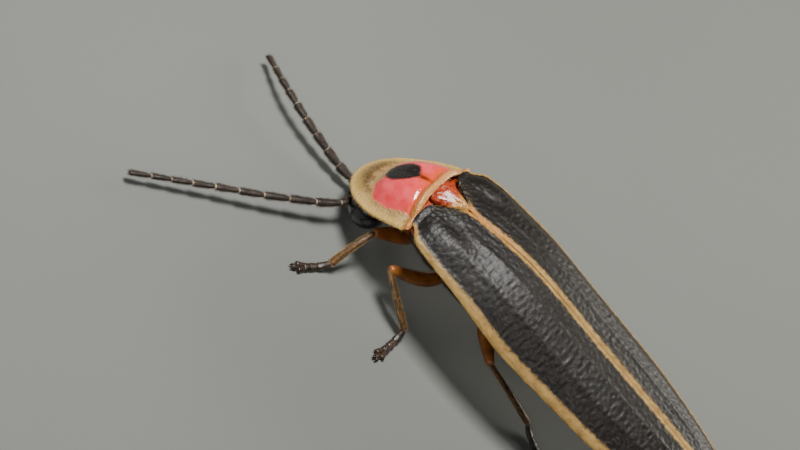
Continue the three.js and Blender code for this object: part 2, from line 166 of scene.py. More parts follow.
camera_data = bpy.data.cameras.new("camera")
camera_data.lens = LENS
camera_data.sensor_width = SENSOR
camera_data.clip_start = 0.005
camera_data.clip_end = 5.0
camera = bpy.data.objects.new("camera", camera_data)
bpy.context.scene.collection.objects.link(camera)
turn = Matrix([[*row] for row in np.array([right, up, toward_camera]).T])
camera.matrix_world = Matrix.Translation(Vector(eye_point)) @ turn.to_4x4()
bpy.context.scene.camera = camera
print("camera", round(float(distance), 1), "mm away")

# %% [markdown]
# Each finish is a small node tree. These helpers keep the trees short: one starts a material and
# returns its shader, one makes a noise of a size given in millimetres, one turns a value into
# a colour, and one adds a bump.

# %% Material helpers


def new_material(name, roughness=0.5, coat=0.0, coat_roughness=0.2):
    material = bpy.data.materials.new(name)
    material.use_nodes = True
    tree = material.node_tree
    shader = tree.nodes["Principled BSDF"]
    shader.inputs["Roughness"].default_value = roughness
    shader.inputs["Coat Weight"].default_value = coat
    shader.inputs["Coat Roughness"].default_value = coat_roughness
    return material, tree, shader


def place_in_mm(tree):
    """Object coordinates in millimetres from the seam's front end."""
    where = tree.nodes.new("ShaderNodeTexCoord")
    shift = tree.nodes.new("ShaderNodeMapping")
    shift.vector_type = "POINT"
    shift.inputs["Location"].default_value = tuple(-SEAM / MM)
    shift.inputs["Scale"].default_value = (1 / MM, 1 / MM, 1 / MM)
    tree.links.new(where.outputs["Object"], shift.inputs["Vector"])
    return shift.outputs["Vector"]


def noise(tree, size, detail=3.0):
    """A soft noise, about `size` millimetres from blotch to blotch."""
    node = tree.nodes.new("ShaderNodeTexNoise")
    node.inputs["Scale"].default_value = 1 / size
    node.inputs["Detail"].default_value = detail
    tree.links.new(place_in_mm(tree), node.inputs["Vector"])
    return node.outputs["Fac"]


def cells(tree, size, feature="F1"):
    """Distance to the nearest of many points that lie about `size` millimetres apart."""
    node = tree.nodes.new("ShaderNodeTexVoronoi")
    node.feature = feature
    node.inputs["Scale"].default_value = 1 / size
    tree.links.new(place_in_mm(tree), node.inputs["Vector"])
    return node.outputs["Distance"]


def ramp(tree, value, *stops):
    """A colour ramp from (place, (r, g, b)) stops."""
    node = tree.nodes.new("ShaderNodeValToRGB")
    while len(node.color_ramp.elements) < len(stops):
        node.color_ramp.elements.new(0.5)
    for element, (place, colour) in zip(node.color_ramp.elements, stops):
        element.position = place
        element.color = (*colour, 1)
    tree.links.new(value, node.inputs["Fac"])
    return node.outputs["Color"]


def grey(tree, value, low, high, start=0.0, end=1.0):
    """A value that runs from start to end while its input runs from low to high."""
    node = tree.nodes.new("ShaderNodeMapRange")
    node.interpolation_type = "SMOOTHSTEP"
    for socket, number in (("From Min", low), ("From Max", high), ("To Min", start), ("To Max", end)):
        node.inputs[socket].default_value = number
    tree.links.new(value, node.inputs["Value"])
    return node.outputs["Result"]


def reckon(tree, operation, a, b=0.0):
    node = tree.nodes.new("ShaderNodeMath")
    node.operation = operation
    for socket, term in zip(node.inputs, (a, b)):
        if isinstance(term, (int, float)):
            socket.default_value = term
        else:
            tree.links.new(term, socket)
    return node.outputs[0]


def blend_colours(tree, amount, a, b):
    node = tree.nodes.new("ShaderNodeMix")
    node.data_type = "RGBA"
    for socket, term in ((node.inputs["Factor"], amount), (node.inputs[6], a), (node.inputs[7], b)):
        if isinstance(term, tuple):
            socket.default_value = (*term, 1)
        elif isinstance(term, float):
            socket.default_value = term
        else:
            tree.links.new(term, socket)
    return node.outputs[2]


def bump(tree, shader, height, depth, strength):
    """A bump whose full height is `depth` millimetres."""
    node = tree.nodes.new("ShaderNodeBump")
    node.inputs["Strength"].default_value = strength
    node.inputs["Distance"].default_value = depth * MM
    tree.links.new(height, node.inputs["Height"])
    tree.links.new(node.outputs["Normal"], shader.inputs["Normal"])


def from_map(tree, name):
    """The two numbers that a piece's own map holds at each place."""
    node = tree.nodes.new("ShaderNodeUVMap")
    node.uv_map = name
    split = tree.nodes.new("ShaderNodeSeparateXYZ")
    tree.links.new(node.outputs["UV"], split.inputs["Vector"])
    return split.outputs["X"], split.outputs["Y"]


# %% [markdown]
# Shells, plates and body rings are moulded. A sphere is the start, because it is closed and has
# rows and columns. Each of its points is then pressed to its place by a short formula, as a
# thumb presses clay, with `turn` counting round the form and `reach` from one pole to the other.

# %% Moulding helpers


def deselect_all():
    if bpy.context.object and bpy.context.object.mode != "OBJECT":
        bpy.ops.object.mode_set(mode="OBJECT")
    bpy.ops.object.select_all(action="DESELECT")


def make_only(piece):
    deselect_all()
    piece.select_set(True)
    bpy.context.view_layer.objects.active = piece


def recalculate_faces(piece):
    make_only(piece)
    bpy.ops.object.mode_set(mode="EDIT")
    bpy.ops.mesh.select_all(action="SELECT")
    bpy.ops.mesh.remove_doubles(threshold=1e-8)
    bpy.ops.mesh.normals_make_consistent(inside=False)
    bpy.ops.object.mode_set(mode="OBJECT")
    bpy.ops.object.shade_smooth()


def set_points(piece, points):
    """Moves a piece's points to places in millimetres. Nothing sinks into the floor."""
    placed = metres(points)
    placed[:, 2] = np.maximum(placed[:, 2], 0)
    piece.data.vertices.foreach_set("co", placed.ravel())
    piece.data.update()


def moulded(name, around, along, place):
    """A sphere of round columns and rows, moulded by place(turn, reach) into millimetres."""
    deselect_all()
    bpy.ops.mesh.primitive_uv_sphere_add(segments=around, ring_count=along, radius=1)
    piece = bpy.context.object
    piece.name = piece.data.name = name
    flat = np.empty(len(piece.data.vertices) * 3)
    piece.data.vertices.foreach_get("co", flat)
    start = flat.reshape(-1, 3)
    turns = np.arctan2(start[:, 1], start[:, 0]) % (2 * math.pi)
    reach = np.arccos(np.clip(start[:, 2], -1, 1)) / math.pi
    set_points(piece, np.stack(place(turns, reach), axis=1))
    recalculate_faces(piece)
    return piece


def ellipsoid(name, centre, size, around, along):
    def place(turns, reach):
        ring = np.sin(math.pi * reach)
        return (
            centre[0] + size[0] * ring * np.cos(turns),
            centre[1] - size[1] * np.cos(math.pi * reach),
            centre[2] + size[2] * ring * np.sin(turns),
        )

    return moulded(name, around, along, place)


def barrel(name, front, back, section, around, along, power):
    """A closed form along the body, with blunt, softly rounded ends."""

    def place(turns, reach):
        swing = (1 - np.cos(math.pi * reach)) / 2
        y = mix(front, back, swing)
        half_width, half_height, middle = section(y, swing, turns)
        full = fullness(swing, power)
        return half_width * full * np.cos(turns), y, middle + half_height * full * np.sin(turns)

    return moulded(name, around, along, place)


def joined(name, pieces):
    make_only(pieces[0])
    for piece in pieces:
        piece.select_set(True)
    if len(pieces) > 1:
        bpy.ops.object.join()
    piece = bpy.context.object
    piece.name = piece.data.name = name
    return piece


def dressed(piece, material, slot, *nodes):
    """Gives a finished piece its finish and its place in the model."""
    piece.data.materials.clear()
    piece.data.materials.append(material)
    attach(piece, "root")
    if nodes:
        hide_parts(*nodes)
    return piece


# %% [markdown]
# Hair is made as geometry. A hair is a three-sided spike, bent once and sunk in the skin, and all
# the hairs of a skin are one mesh built from arrays. They are drawn at random on the skin's own
# triangles, from a fixed seed, and lie along a direction that each skin gives. Blender may order
# those triangles differently in a new run. Most hairs then stand in other places, and only the
# look of the coat stays the same.

# %% Hair helper
HAIR_FACES = (
    (2, 1, 0), (0, 1, 4), (0, 4, 3), (1, 2, 5), (1, 5, 4),
    (2, 0, 3), (2, 3, 5), (3, 4, 6), (4, 5, 6), (5, 3, 6),
)
HAIR_PATCH = ((0, 0), (1, 0), (0.5, 1), (0, 0.5), (1, 0.5), (0.5, 0.7), (0.5, 0.5))
PATCH_SIZE = 0.003
HAIR_SCATTER = 0.22
HAIR_LENGTHS = (0.65, 1.25)
HAIR_LIFTS = (0.6, 1.4)
KNEE_REACH = 0.45
KNEE_RISE = 0.5
KNEE_GIRTH = 0.75
TIP_RISE = 0.75
ROOT_DEPTH = 0.12
SEEDS = {
    "case": 20, "margin": 24, "shield": 31, "belly": 40,
    "thorax": 60, "head": 70, "feelers": 80, "legs": 100,
}


def unwrap(skin):
    make_only(skin)
    bpy.ops.object.mode_set(mode="EDIT")
    bpy.ops.mesh.select_all(action="SELECT")
    bpy.ops.uv.smart_project(angle_limit=1.15, island_margin=0.01)
    bpy.ops.object.mode_set(mode="OBJECT")


def triangles_of(skin):
    mesh = skin.data
    mesh.calc_loop_triangles()
    count = len(mesh.loop_triangles)
    corners = np.empty(count * 3, dtype=np.int64)
    loops = np.empty(count * 3, dtype=np.int64)
    mesh.loop_triangles.foreach_get("vertices", corners)
    mesh.loop_triangles.foreach_get("loops", loops)
    points = np.empty(len(mesh.vertices) * 3)
    mesh.vertices.foreach_get("co", points)
    return points.reshape(-1, 3), corners.reshape(-1, 3), loops.reshape(-1, 3)


def roots_on(skin, count, random):
    """Random places on a skin: the points, the way the skin faces there, and their map places."""
    points, corners, loops = triangles_of(skin)
    a, b, c = (points[corners[:, k]] for k in range(3))
    cross = np.cross(b - a, c - a)
    areas = np.linalg.norm(cross, axis=1)
    pick = random.choice(len(areas), count, p=areas / areas.sum())
    u, v = random.random(count), random.random(count)
    over = u + v > 1
    u[over], v[over] = 1 - u[over], 1 - v[over]
    weights = np.stack([1 - u - v, u, v], axis=1)
    root = (points[corners[pick]] * weights[:, :, None]).sum(axis=1)
    normal = cross[pick] / np.maximum(areas[pick], 1e-30)[:, None]
    uv = np.empty(len(skin.data.loops) * 2)
    skin.data.uv_layers[0].data.foreach_get("uv", uv)
    root_uv = (uv.reshape(-1, 2)[loops[pick]] * weights[:, :, None]).sum(axis=1)
    return root, normal, root_uv


def hair_mesh(name, verts, root_uv):
    """All hairs as one mesh, whose map has a small patch for each at its root's place."""
    points_each = len(HAIR_PATCH)
    first = np.arange(len(root_uv))[:, None, None] * points_each
    faces = (first + np.array(HAIR_FACES)[None]).reshape(-1, 3)
    mesh = bpy.data.meshes.new(name)
    mesh.from_pydata(verts.tolist(), [], faces.tolist())
    patch = np.array(HAIR_PATCH) * PATCH_SIZE
    spread = (root_uv[:, None, :] + patch[None]).reshape(-1, 2)
    layer = mesh.uv_layers.new(name="OFBake")
    layer.data.foreach_set("uv", spread[faces.ravel()].ravel())
    piece = bpy.data.objects.new(name, mesh)
    bpy.context.scene.collection.objects.link(piece)
    return piece


def coat(name, skin, lie, seed, count, length, lift, width, keep=None):
    """Hairs on a skin. lie(points in mm) gives their direction, lift how steeply they stand."""
    random = np.random.default_rng(seed)
    if not skin.data.uv_layers:
        unwrap(skin)
    root, normal, root_uv = roots_on(skin, count, random)
    place = (root - SEAM) / MM
    if keep is not None:
        kept = keep(place, normal)
        root, normal, root_uv, place = root[kept], normal[kept], root_uv[kept], place[kept]
        count = len(root)
    along = lie(place) + random.normal(0, HAIR_SCATTER, (count, 3))
    along -= normal * (along * normal).sum(axis=1)[:, None]
    along /= np.maximum(np.linalg.norm(along, axis=1), 1e-9)[:, None]
    across = np.cross(normal, along)
    size = length * MM * random.uniform(*HAIR_LENGTHS, (count, 1))
    steep = lift * random.uniform(*HAIR_LIFTS, (count, 1))
    knee = root + size * (KNEE_REACH * along + KNEE_RISE * steep * normal)
    tip = root + size * (along + TIP_RISE * steep * normal)
    base = root - normal * size * ROOT_DEPTH
    half = width * MM / 2
    rings = []
    for centre, girth in ((base, 1.0), (knee, KNEE_GIRTH)):
        for angle in (0, 2 * math.pi / 3, 4 * math.pi / 3):
            outward = math.cos(angle) * across + math.sin(angle) * normal
            rings.append(centre + half * girth * outward)
    verts = np.stack([*rings, tip], axis=1).reshape(-1, 3)
    verts[:, 2] = np.maximum(verts[:, 2], 0)
    print(f"{name}: {count} hairs, placed by the map {skin.data.uv_layers[0].name}")
    return hair_mesh(name, verts, root_uv)


def toward_tail(points):
    return np.tile([0.0, 1.0, -0.05], (len(points), 1))


print("helpers ready")

# %% [markdown]
# ## Wing cases
# Two long covers, black-brown and finely grained, with pale margins at the seam and the side. The
# arch of the back is a formula of the place across and along, the same that the solid model has.
# A grid could be bent into it, but a moulded form gives both faces and the rolled edge at once.

# %% Wing case shape
CASE_FRONT = -0.62
CASE_THICKNESS = 0.16
GRAIN_HEIGHT = 0.01
COARSE_GRAIN = 0.085
FINE_GRAIN = 0.06
CASE_CURVE_POWER = 2.5
seam_height = profile((-0.4, -0.1), (0, 0), (2.5, 0.4), (5.6, 0.2), (9.2, -0.08), (11.1, -0.34))
side_drop = profile((-0.4, 0.42), (0, 0.49), (3.3, 1.08), (5.5, 1), (9.6, 0.73), (11.1, 0.3))
case_outer = profile(
    (-0.42, 1.6), (0, 1.94), (1.6, 2.14), (3.3, 2.25), (5.5, 2.15),
    (7.5, 2), (9.6, 1.56), (10.5, 1.16), (11.1, 0.74),
)
case_inner = profile((-0.42, 0.56), (-0.1, 0.34), (0.35, 0.02), (2, 0.008), (10.4, 0.01), (11.1, 0.14))


def case_top(x, y):
    """Height of the upper face of a wing case, x millimetres from the midline."""
    across = x / case_outer(y)
    shoulder = bell(across - 0.66, 0.22) * bell(y - 0.55, 0.75)
    vein_length = end_rounding(y - 0.6, 1.5, 2) * end_rounding(9.8 - y, 1.5, 2)
    veins = (bell(across - 0.34, 0.05) + bell(across - 0.62, 0.05)) * vein_length
    seam_ridge = 0.012 * bell(x - 0.1, 0.1)
    rim = 0.07 * soft((across - 0.86) / 0.12)
    dimple = 0.05 * bell(across - 0.42, 0.14) * bell(y - 0.35, 0.5)
    return (
        SEAM_HEIGHT + seam_height(y) - side_drop(y) * np.clip(across, 0, 1) ** CASE_CURVE_POWER
        + 0.13 * shoulder + 0.03 * veins + seam_ridge + rim - dimple
    )


def wing_case(name, side):
    def place(turns, reach):
        swing = mix(reach, (1 - np.cos(math.pi * reach)) / 2, 0.8)
        y = mix(CASE_FRONT, CASE_TIP, swing)
        full = end_rounding(y - CASE_FRONT, 0.55, 3) * end_rounding(CASE_TIP - y, 0.75, 2)
        middle = (case_inner(y) + case_outer(y)) / 2
        half_width = (case_outer(y) - case_inner(y)) / 2 * full
        sweep = -np.cos(turns)
        x = middle + half_width * sweep
        slope = (case_top(x + 0.02, y) - case_top(x - 0.02, y)) / 0.04
        tilt = np.hypot(1, slope)
        edge = np.abs(np.sin(turns)) ** 0.45 * np.sign(np.sin(turns))
        depth = CASE_THICKNESS / 2 * (1 - edge * full)
        grain = speckle(x, y, COARSE_GRAIN, 5) + 0.5 * speckle(x, y, FINE_GRAIN, 6)
        depth = depth - GRAIN_HEIGHT * grain * (edge > 0.5)
        return side * (x + slope / tilt * depth), y, case_top(x, y) - depth / tilt

    return moulded(name, 150, 400, place)


def add_edge_map(piece, measure):
    """A map that holds, for each corner, the two numbers that measure(points in mm) gives."""
    mesh = piece.data
    flat = np.empty(len(mesh.vertices) * 3)
    mesh.vertices.foreach_get("co", flat)
    first, second = measure((flat.reshape(-1, 3) - SEAM) / MM)
    corner = np.empty(len(mesh.loops), dtype=np.int64)
    mesh.loops.foreach_get("vertex_index", corner)
    layer = mesh.uv_layers.new(name="Pattern")
    layer.data.foreach_set("uv", np.stack([first[corner], second[corner]], axis=1).ravel())


def case_edges(points):
    """Distances in millimetres from the seam and from the side, along the top of a wing case."""
    across, y = np.abs(points[:, 0]), points[:, 1]
    lean = 1 + 0.35 * (side_drop(y) / case_outer(y))
    margin_growth = mix(1.5, 1, soft((y + 0.4) / 3))
    side = (case_outer(y) - across) * lean * margin_growth
    near_tip = (CASE_TIP - y) * 0.9
    return across - case_inner(y), np.minimum(side, near_tip)


# %% [markdown]
# The finish starts black-brown with a fine grain. The pale margins come
# from the map of distances to the seam and the side, frayed a little with noise. Near the front
# the seam's stripe turns orange, as it does by the little triangle between the wing cases.

# %% Wing case finish


def case_material():
    material, tree, shader = new_material("wing_case_finish", roughness=0.46)
    shader.inputs["Specular IOR Level"].default_value = 0.4
    from_seam, from_side = from_map(tree, "Pattern")
    fray = reckon(tree, "MULTIPLY", reckon(tree, "SUBTRACT", noise(tree, 0.12), 0.5), 0.16)
    apart = tree.nodes.new("ShaderNodeSeparateXYZ")
    tree.links.new(place_in_mm(tree), apart.inputs["Vector"])
    along = apart.outputs["Y"]
    seam_edge = grey(tree, reckon(tree, "ADD", from_seam, fray), 0.09, 0.19, 1.0, 0.0)
    seam_edge = reckon(tree, "MULTIPLY", seam_edge, grey(tree, along, 0.0, 0.35))
    side_edge = grey(tree, reckon(tree, "ADD", from_side, fray), 0.2, 0.33, 1.0, 0.0)
    pale = reckon(tree, "MAXIMUM", seam_edge, side_edge)
    dark = ramp(tree, noise(tree, 0.5, 5), (0.3, (0.0025, 0.0018, 0.0013)), (0.7, (0.008, 0.0055, 0.0038)))
    straw = ramp(tree, noise(tree, 0.35, 4), (0.3, (0.24, 0.13, 0.028)), (0.7, (0.42, 0.26, 0.07)))
    warmth = reckon(tree, "MULTIPLY", grey(tree, along, 0.2, 3.2, 0.7, 0.0), seam_edge)
    margin = blend_colours(tree, warmth, straw, (0.48, 0.17, 0.022))
    colour = blend_colours(tree, pale, dark, margin)
    tree.links.new(colour, shader.inputs["Base Color"])
    bump(tree, shader, noise(tree, 0.04, 3), 0.012, 0.6)
    tree.links.new(grey(tree, pale, 0, 1, 0.46, 0.55), shader.inputs["Roughness"])
    return material


def down_material(name, colour):
    material, tree, shader = new_material(name, roughness=0.45)
    tone = ramp(
        tree, noise(tree, 0.4, 2),
        (0.3, tuple(0.75 * c for c in colour)), (0.7, colour),
    )
    tree.links.new(tone, shader.inputs["Base Color"])
    return material


CASE_FINISH = case_material()
PALE_DOWN = down_material("pale_down", (0.42, 0.27, 0.09))
TAN_DOWN = down_material("tan_down", (0.075, 0.053, 0.03))
DARK_DOWN = down_material("dark_down", (0.075, 0.048, 0.028))
MARGIN_WIDTH = 0.3
CASE_HAIRS = {"count": 12000, "length": 0.1, "lift": 0.3, "width": 0.006}
MARGIN_HAIRS = {"count": 18000, "length": 0.11, "lift": 0.26, "width": 0.0065}


def on_margin(points):
    from_seam, from_side = case_edges(points)
    return np.minimum(from_seam, from_side - 0.1) < MARGIN_WIDTH - 0.1


for number, (side_name, side) in enumerate((("left", 1), ("right", -1))):
    case = wing_case(f"case_{side_name}", side)
    add_edge_map(case, case_edges)
    dressed(case, CASE_FINISH, "wing_case", f"elytron_{side_name}")
    hairs = coat(
        f"case_down_{side_name}", case, toward_tail, SEEDS["case"] + number, **CASE_HAIRS,
        keep=lambda place, normal: (normal[:, 2] > 0.05) & ~on_margin(place),
    )
    dressed(hairs, TAN_DOWN, "wing_case")
    hairs = coat(
        f"case_margin_down_{side_name}", case, toward_tail, SEEDS["margin"] + number, **MARGIN_HAIRS,
        keep=lambda place, normal: (normal[:, 2] > -0.1) & on_margin(place),
    )
    dressed(hairs, PALE_DOWN, "wing_case")
print("wing cases done")

# %% [markdown]
# ## Shield
# A wide plate that slopes down over the head. Its middle is domed and pink, with a black spot
# near the front and a broad straw-coloured margin all round, raised to a fine lip at the rim.

# %% Shield shape
SHIELD_BASE = np.array([0.0, -0.85, 2.89])
SHIELD_PITCH = math.radians(39.4)
SHIELD_HALF_WIDTH = 1.68
SHIELD_LENGTH = 2.7
SHIELD_CENTRE = 1.05
SHIELD_THICKNESS = 0.2
DISC_SIZE = (1.27, 1.28)
DISC_START = 0.5
DISC_POWER = 3.2
shield_forward = np.array([0, -math.cos(SHIELD_PITCH), -math.sin(SHIELD_PITCH)])
shield_outward = np.array([0, -math.sin(SHIELD_PITCH), math.cos(SHIELD_PITCH)])


def disc_reach(across, ahead):
    """1 on the border of the shield's raised middle, less inside it."""
    side = np.abs(across) / DISC_SIZE[0]
    front = np.maximum(0, ahead - DISC_START) / DISC_SIZE[1]
    return (side ** DISC_POWER + front ** DISC_POWER) ** (1 / DISC_POWER)


def shield_surface(across, ahead, spread, edge_ahead):
    reach = disc_reach(across, ahead)
    dome = 0.16 * bell(across, 1.1) * bell(ahead - 0.9, 1.1)
    boss = 0.09 * bell(np.abs(across) - 0.55, 0.4) * bell(ahead - 0.7, 0.6)
    furrow = -0.07 * bell(across, 0.12) * bell(ahead - 0.4, 0.4)
    gutter = -0.13 * bell(reach - 1.03, 0.17)
    lip = 0.06 * bell(spread - 0.985, 0.05) * np.clip(edge_ahead, 0.25, 1)
    base_bead = 0.07 * bell(ahead, 0.08) - 0.04 * bell(ahead - 0.18, 0.08)
    return dome + boss + furrow + gutter + lip + base_bead - 0.17 * across ** 2 - 0.05 * ahead ** 2


def shield_place(turns, reach):
    cosine, sine = np.cos(turns), np.sin(turns)
    spread = np.sin(math.pi * reach) ** 0.8
    front_ahead = SHIELD_LENGTH * np.maximum(sine, 0) ** 0.86
    rear_across = np.sign(cosine) * np.abs(cosine) ** 0.35
    edge_across = SHIELD_HALF_WIDTH * np.where(sine >= 0, cosine, rear_across)
    edge_ahead = np.where(sine >= 0, front_ahead, -0.1 * np.abs(sine) ** 0.5)
    across = edge_across * spread
    ahead = mix(SHIELD_CENTRE, edge_ahead, spread)
    edge = np.sqrt(np.maximum(0, 1 - spread ** 8))
    out = shield_surface(across, ahead, spread, edge_ahead)
    out = out - SHIELD_THICKNESS / 2 * np.where(reach <= 0.5, 1 - edge, 1 + edge)
    base = SHIELD_BASE[:, None]
    return tuple(
        base[k] + (k == 0) * across + shield_forward[k] * ahead + shield_outward[k] * out for k in range(3)
    )


def shield_plan(points):
    """Places across and ahead on the shield, in millimetres, halved and centred to fit a map."""
    away = points - SHIELD_BASE
    return points[:, 0] / 4 + 0.5, (away @ shield_forward) / 4 + 0.25


# %% [markdown]
# The colours are soft zones on that plan: a squarish disc for the pink, a notched spot, and a
# warm band at the base. Fine pits and a waxy gloss cover it all, and a little light passes
# through the plate.

# %% Shield finish


def zone(tree, across, ahead, centre, size, sharp=0.3, wobble=None, power=2.0):
    """1 inside an ellipse on the shield's plan, 0 outside. A higher power makes it squarer."""
    x = reckon(tree, "DIVIDE", reckon(tree, "SUBTRACT", across, centre[0]), size[0])
    y = reckon(tree, "DIVIDE", reckon(tree, "SUBTRACT", ahead, centre[1]), size[1])
    x, y = (reckon(tree, "POWER", reckon(tree, "ABSOLUTE", axis), power) for axis in (x, y))
    away = reckon(tree, "POWER", reckon(tree, "ADD", x, y), 1 / power)
    if wobble is not None:
        away = reckon(tree, "ADD", away, wobble)
    return grey(tree, away, 1 - sharp, 1 + sharp, 1.0, 0.0)


def shield_axes(tree):
    """Millimetres across and ahead on the shield, from its map."""
    u, v = from_map(tree, "Pattern")
    across = reckon(tree, "MULTIPLY", reckon(tree, "SUBTRACT", u, 0.5), 4.0)
    ahead = reckon(tree, "MULTIPLY", reckon(tree, "SUBTRACT", v, 0.25), 4.0)
    return across, ahead


def margin_colour(tree, across, ahead, wobble):
    """Olive brown, darkest in front, with a pale rim and a cream line round the disc."""
    olive = ramp(tree, noise(tree, 0.22, 5), (0.3, (0.06, 0.032, 0.006)), (0.7, (0.17, 0.095, 0.02)))
    front_dark = zone(tree, across, ahead, (0.0, 1.75), (0.75, 0.5), 0.5)
    margin = blend_colours(tree, reckon(tree, "MULTIPLY", front_dark, 0.75), olive, (0.12, 0.06, 0.015))
    inner = zone(tree, across, ahead, (0, 0.1), (1.42, 2.3), 0.1)
    margin = blend_colours(tree, inner, (0.5, 0.32, 0.09), margin)
    disc_ahead = reckon(tree, "MAXIMUM", ahead, DISC_START)
    cream = zone(tree, across, disc_ahead, (0, DISC_START), (1.4, 1.42), 0.08, wobble, DISC_POWER)
    return blend_colours(tree, reckon(tree, "MULTIPLY", cream, 0.6), margin, (0.55, 0.36, 0.14))


def disc_zone(tree, across, ahead, wobble):
    """1 on the pink disc, with a notch cut in its front."""
    disc_ahead = reckon(tree, "MAXIMUM", ahead, DISC_START)
    ragged = reckon(tree, "MULTIPLY", wobble, 0.25)
    disc = zone(tree, across, disc_ahead, (0, DISC_START), (1.22, 1.26), 0.035, ragged, DISC_POWER)
    notch = zone(tree, across, ahead, (0, 1.95), (0.5, 0.5), 0.2, wobble)
    return reckon(tree, "MULTIPLY", disc, reckon(tree, "SUBTRACT", 1.0, notch))


def disc_colour(tree, across, ahead, wobble):
    """Pink, turning red along the middle and toward the base."""
    pink = ramp(tree, noise(tree, 0.4, 4), (0.3, (0.7, 0.022, 0.035)), (0.7, (0.84, 0.1, 0.11)))
    wide = reckon(tree, "ABSOLUTE", across)
    uneven_wide = reckon(tree, "ADD", wide, reckon(tree, "MULTIPLY", wobble, 0.3))
    near_middle = grey(tree, uneven_wide, 0.06, 0.26, 1.0, 0.0)
    near_base = grey(tree, reckon(tree, "ADD", ahead, wobble), 0.15, 0.5, 0.8, 0.0)
    warm = reckon(tree, "MAXIMUM", near_middle, near_base)
    return blend_colours(tree, warm, pink, (0.6, 0.07, 0.015))


def shield_material():
    material, tree, shader = new_material("shield_finish", roughness=0.3, coat=0.3, coat_roughness=0.1)
    shader.inputs["Subsurface Weight"].default_value = 0.1
    shader.inputs["Subsurface Radius"].default_value = (0.0003, 0.00012, 0.00006)
    across, ahead = shield_axes(tree)
    wobble = reckon(tree, "MULTIPLY", reckon(tree, "SUBTRACT", noise(tree, 0.3, 4), 0.5), 0.4)
    margin = margin_colour(tree, across, ahead, wobble)
    disc = disc_zone(tree, across, ahead, wobble)
    colour = blend_colours(tree, disc, margin, disc_colour(tree, across, ahead, wobble))
    uneven_ahead = reckon(tree, "ADD", ahead, reckon(tree, "MULTIPLY", wobble, 0.15))
    base_band = grey(tree, uneven_ahead, 0.1, 0.18, 1.0, 0.0)
    colour = blend_colours(tree, base_band, colour, (0.5, 0.2, 0.045))
    spot = zone(tree, across, ahead, (0.02, 1.1), (0.45, 0.54), 0.12, reckon(tree, "MULTIPLY", wobble, 0.6))
    tail = zone(tree, across, ahead, (0.0, 0.5), (0.07, 0.3), 0.5, reckon(tree, "MULTIPLY", wobble, 1.5))
    dark = reckon(tree, "MAXIMUM", spot, reckon(tree, "MULTIPLY", tail, 0.75))
    colour = blend_colours(tree, dark, colour, (0.006, 0.003, 0.0025))
    tree.links.new(colour, shader.inputs["Base Color"])
    smooth_pink = reckon(tree, "SUBTRACT", disc, reckon(tree, "MAXIMUM", spot, base_band))
    tree.links.new(grey(tree, smooth_pink, 0, 1, 0.45, 0.15), shader.inputs["Roughness"])
    pits = reckon(tree, "ADD", cells(tree, 0.075), reckon(tree, "MULTIPLY", noise(tree, 0.2, 4), 0.8))
    soft_pits = reckon(tree, "MULTIPLY", pits, grey(tree, smooth_pink, 0, 1, 1.0, 0.25))
    bump(tree, shader, soft_pits, 0.03, 0.8)
    return material


SHIELD_HAIRS = {"count": 2600, "length": 0.085, "lift": 0.35, "width": 0.006}
SHIELD_FINISH = shield_material()
shield = moulded("shield", 180, 120, shield_place)
add_edge_map(shield, shield_plan)
dressed(shield, SHIELD_FINISH, "shield", "pronotum")


def away_from_shield_centre(points):
    return points - (SHIELD_BASE + shield_forward * 0.6)


def outside_disc(points):
    across, ahead = shield_plan(points)
    across, ahead = (across - 0.5) * 4, (ahead - 0.25) * 4
    return (disc_reach(across, ahead) > 1.02) | (ahead < 0.15)


shield_hairs = coat(
    "shield_down", shield, away_from_shield_centre, SEEDS["shield"], **SHIELD_HAIRS,
    keep=lambda place, normal: outside_disc(place),
)
dressed(shield_hairs, PALE_DOWN, "shield")
print("shield done")

# %% [markdown]
# ## Body
# Under the covers lie the thorax and the belly. They are dark and downy, apart from the orange
# front part and the two pale rings that light up.

# %% Body finishes


def shell_material(name, dark, light, roughness=0.4, coat=0.15, grain=0.03, depth=0.012, see_through=0.0):
    """Horny skin: two tones in soft blotches, with a fine grain."""
    material, tree, shader = new_material(name, roughness=roughness, coat=coat, coat_roughness=0.25)
    shader.inputs["Subsurface Weight"].default_value = see_through
    shader.inputs["Subsurface Radius"].default_value = (0.0003, 0.00015, 0.00008)
    tone = ramp(tree, noise(tree, 0.3, 5), (0.32, dark), (0.68, light))
    tree.links.new(tone, shader.inputs["Base Color"])
    height = reckon(tree, "ADD", cells(tree, grain, "SMOOTH_F1"), noise(tree, 0.15, 4))
    bump(tree, shader, height, depth, 0.8)
    return material


DARK_BODY = shell_material("dark_body_finish", (0.018, 0.011, 0.008), (0.06, 0.036, 0.022))
ORANGE_BODY = shell_material("orange_body_finish", (0.28, 0.06, 0.01), (0.5, 0.16, 0.035), see_through=0.1)
LANTERN = shell_material(
    "lantern_finish", (0.6, 0.47, 0.16), (0.8, 0.7, 0.34),
    roughness=0.38, coat=0.25, see_through=0.25,
)
RED_PLATE = shell_material(
    "red_plate_finish", (0.2, 0.015, 0.005), (0.5, 0.07, 0.015),
    roughness=0.14, coat=0.8, grain=0.05, see_through=0.1,
)

# %% [markdown]
# Each belly ring is a short barrel that flares to the rear and tucks over the next, as the real
# plates do, with a fine fold along each side where back plate and belly plate meet.

# %% Thorax and belly


def belly_section(y, swing, turns):
    flare = 0.97 + 0.08 * soft(swing * 1.15)
    pinch = 1 + 0.07 * bell(np.abs(np.cos(turns)) - 1, 0.06)
    return (
        belly_half_width(y) * flare * pinch,
        belly_half_height(y) * flare,
        belly_middle(y),
    )


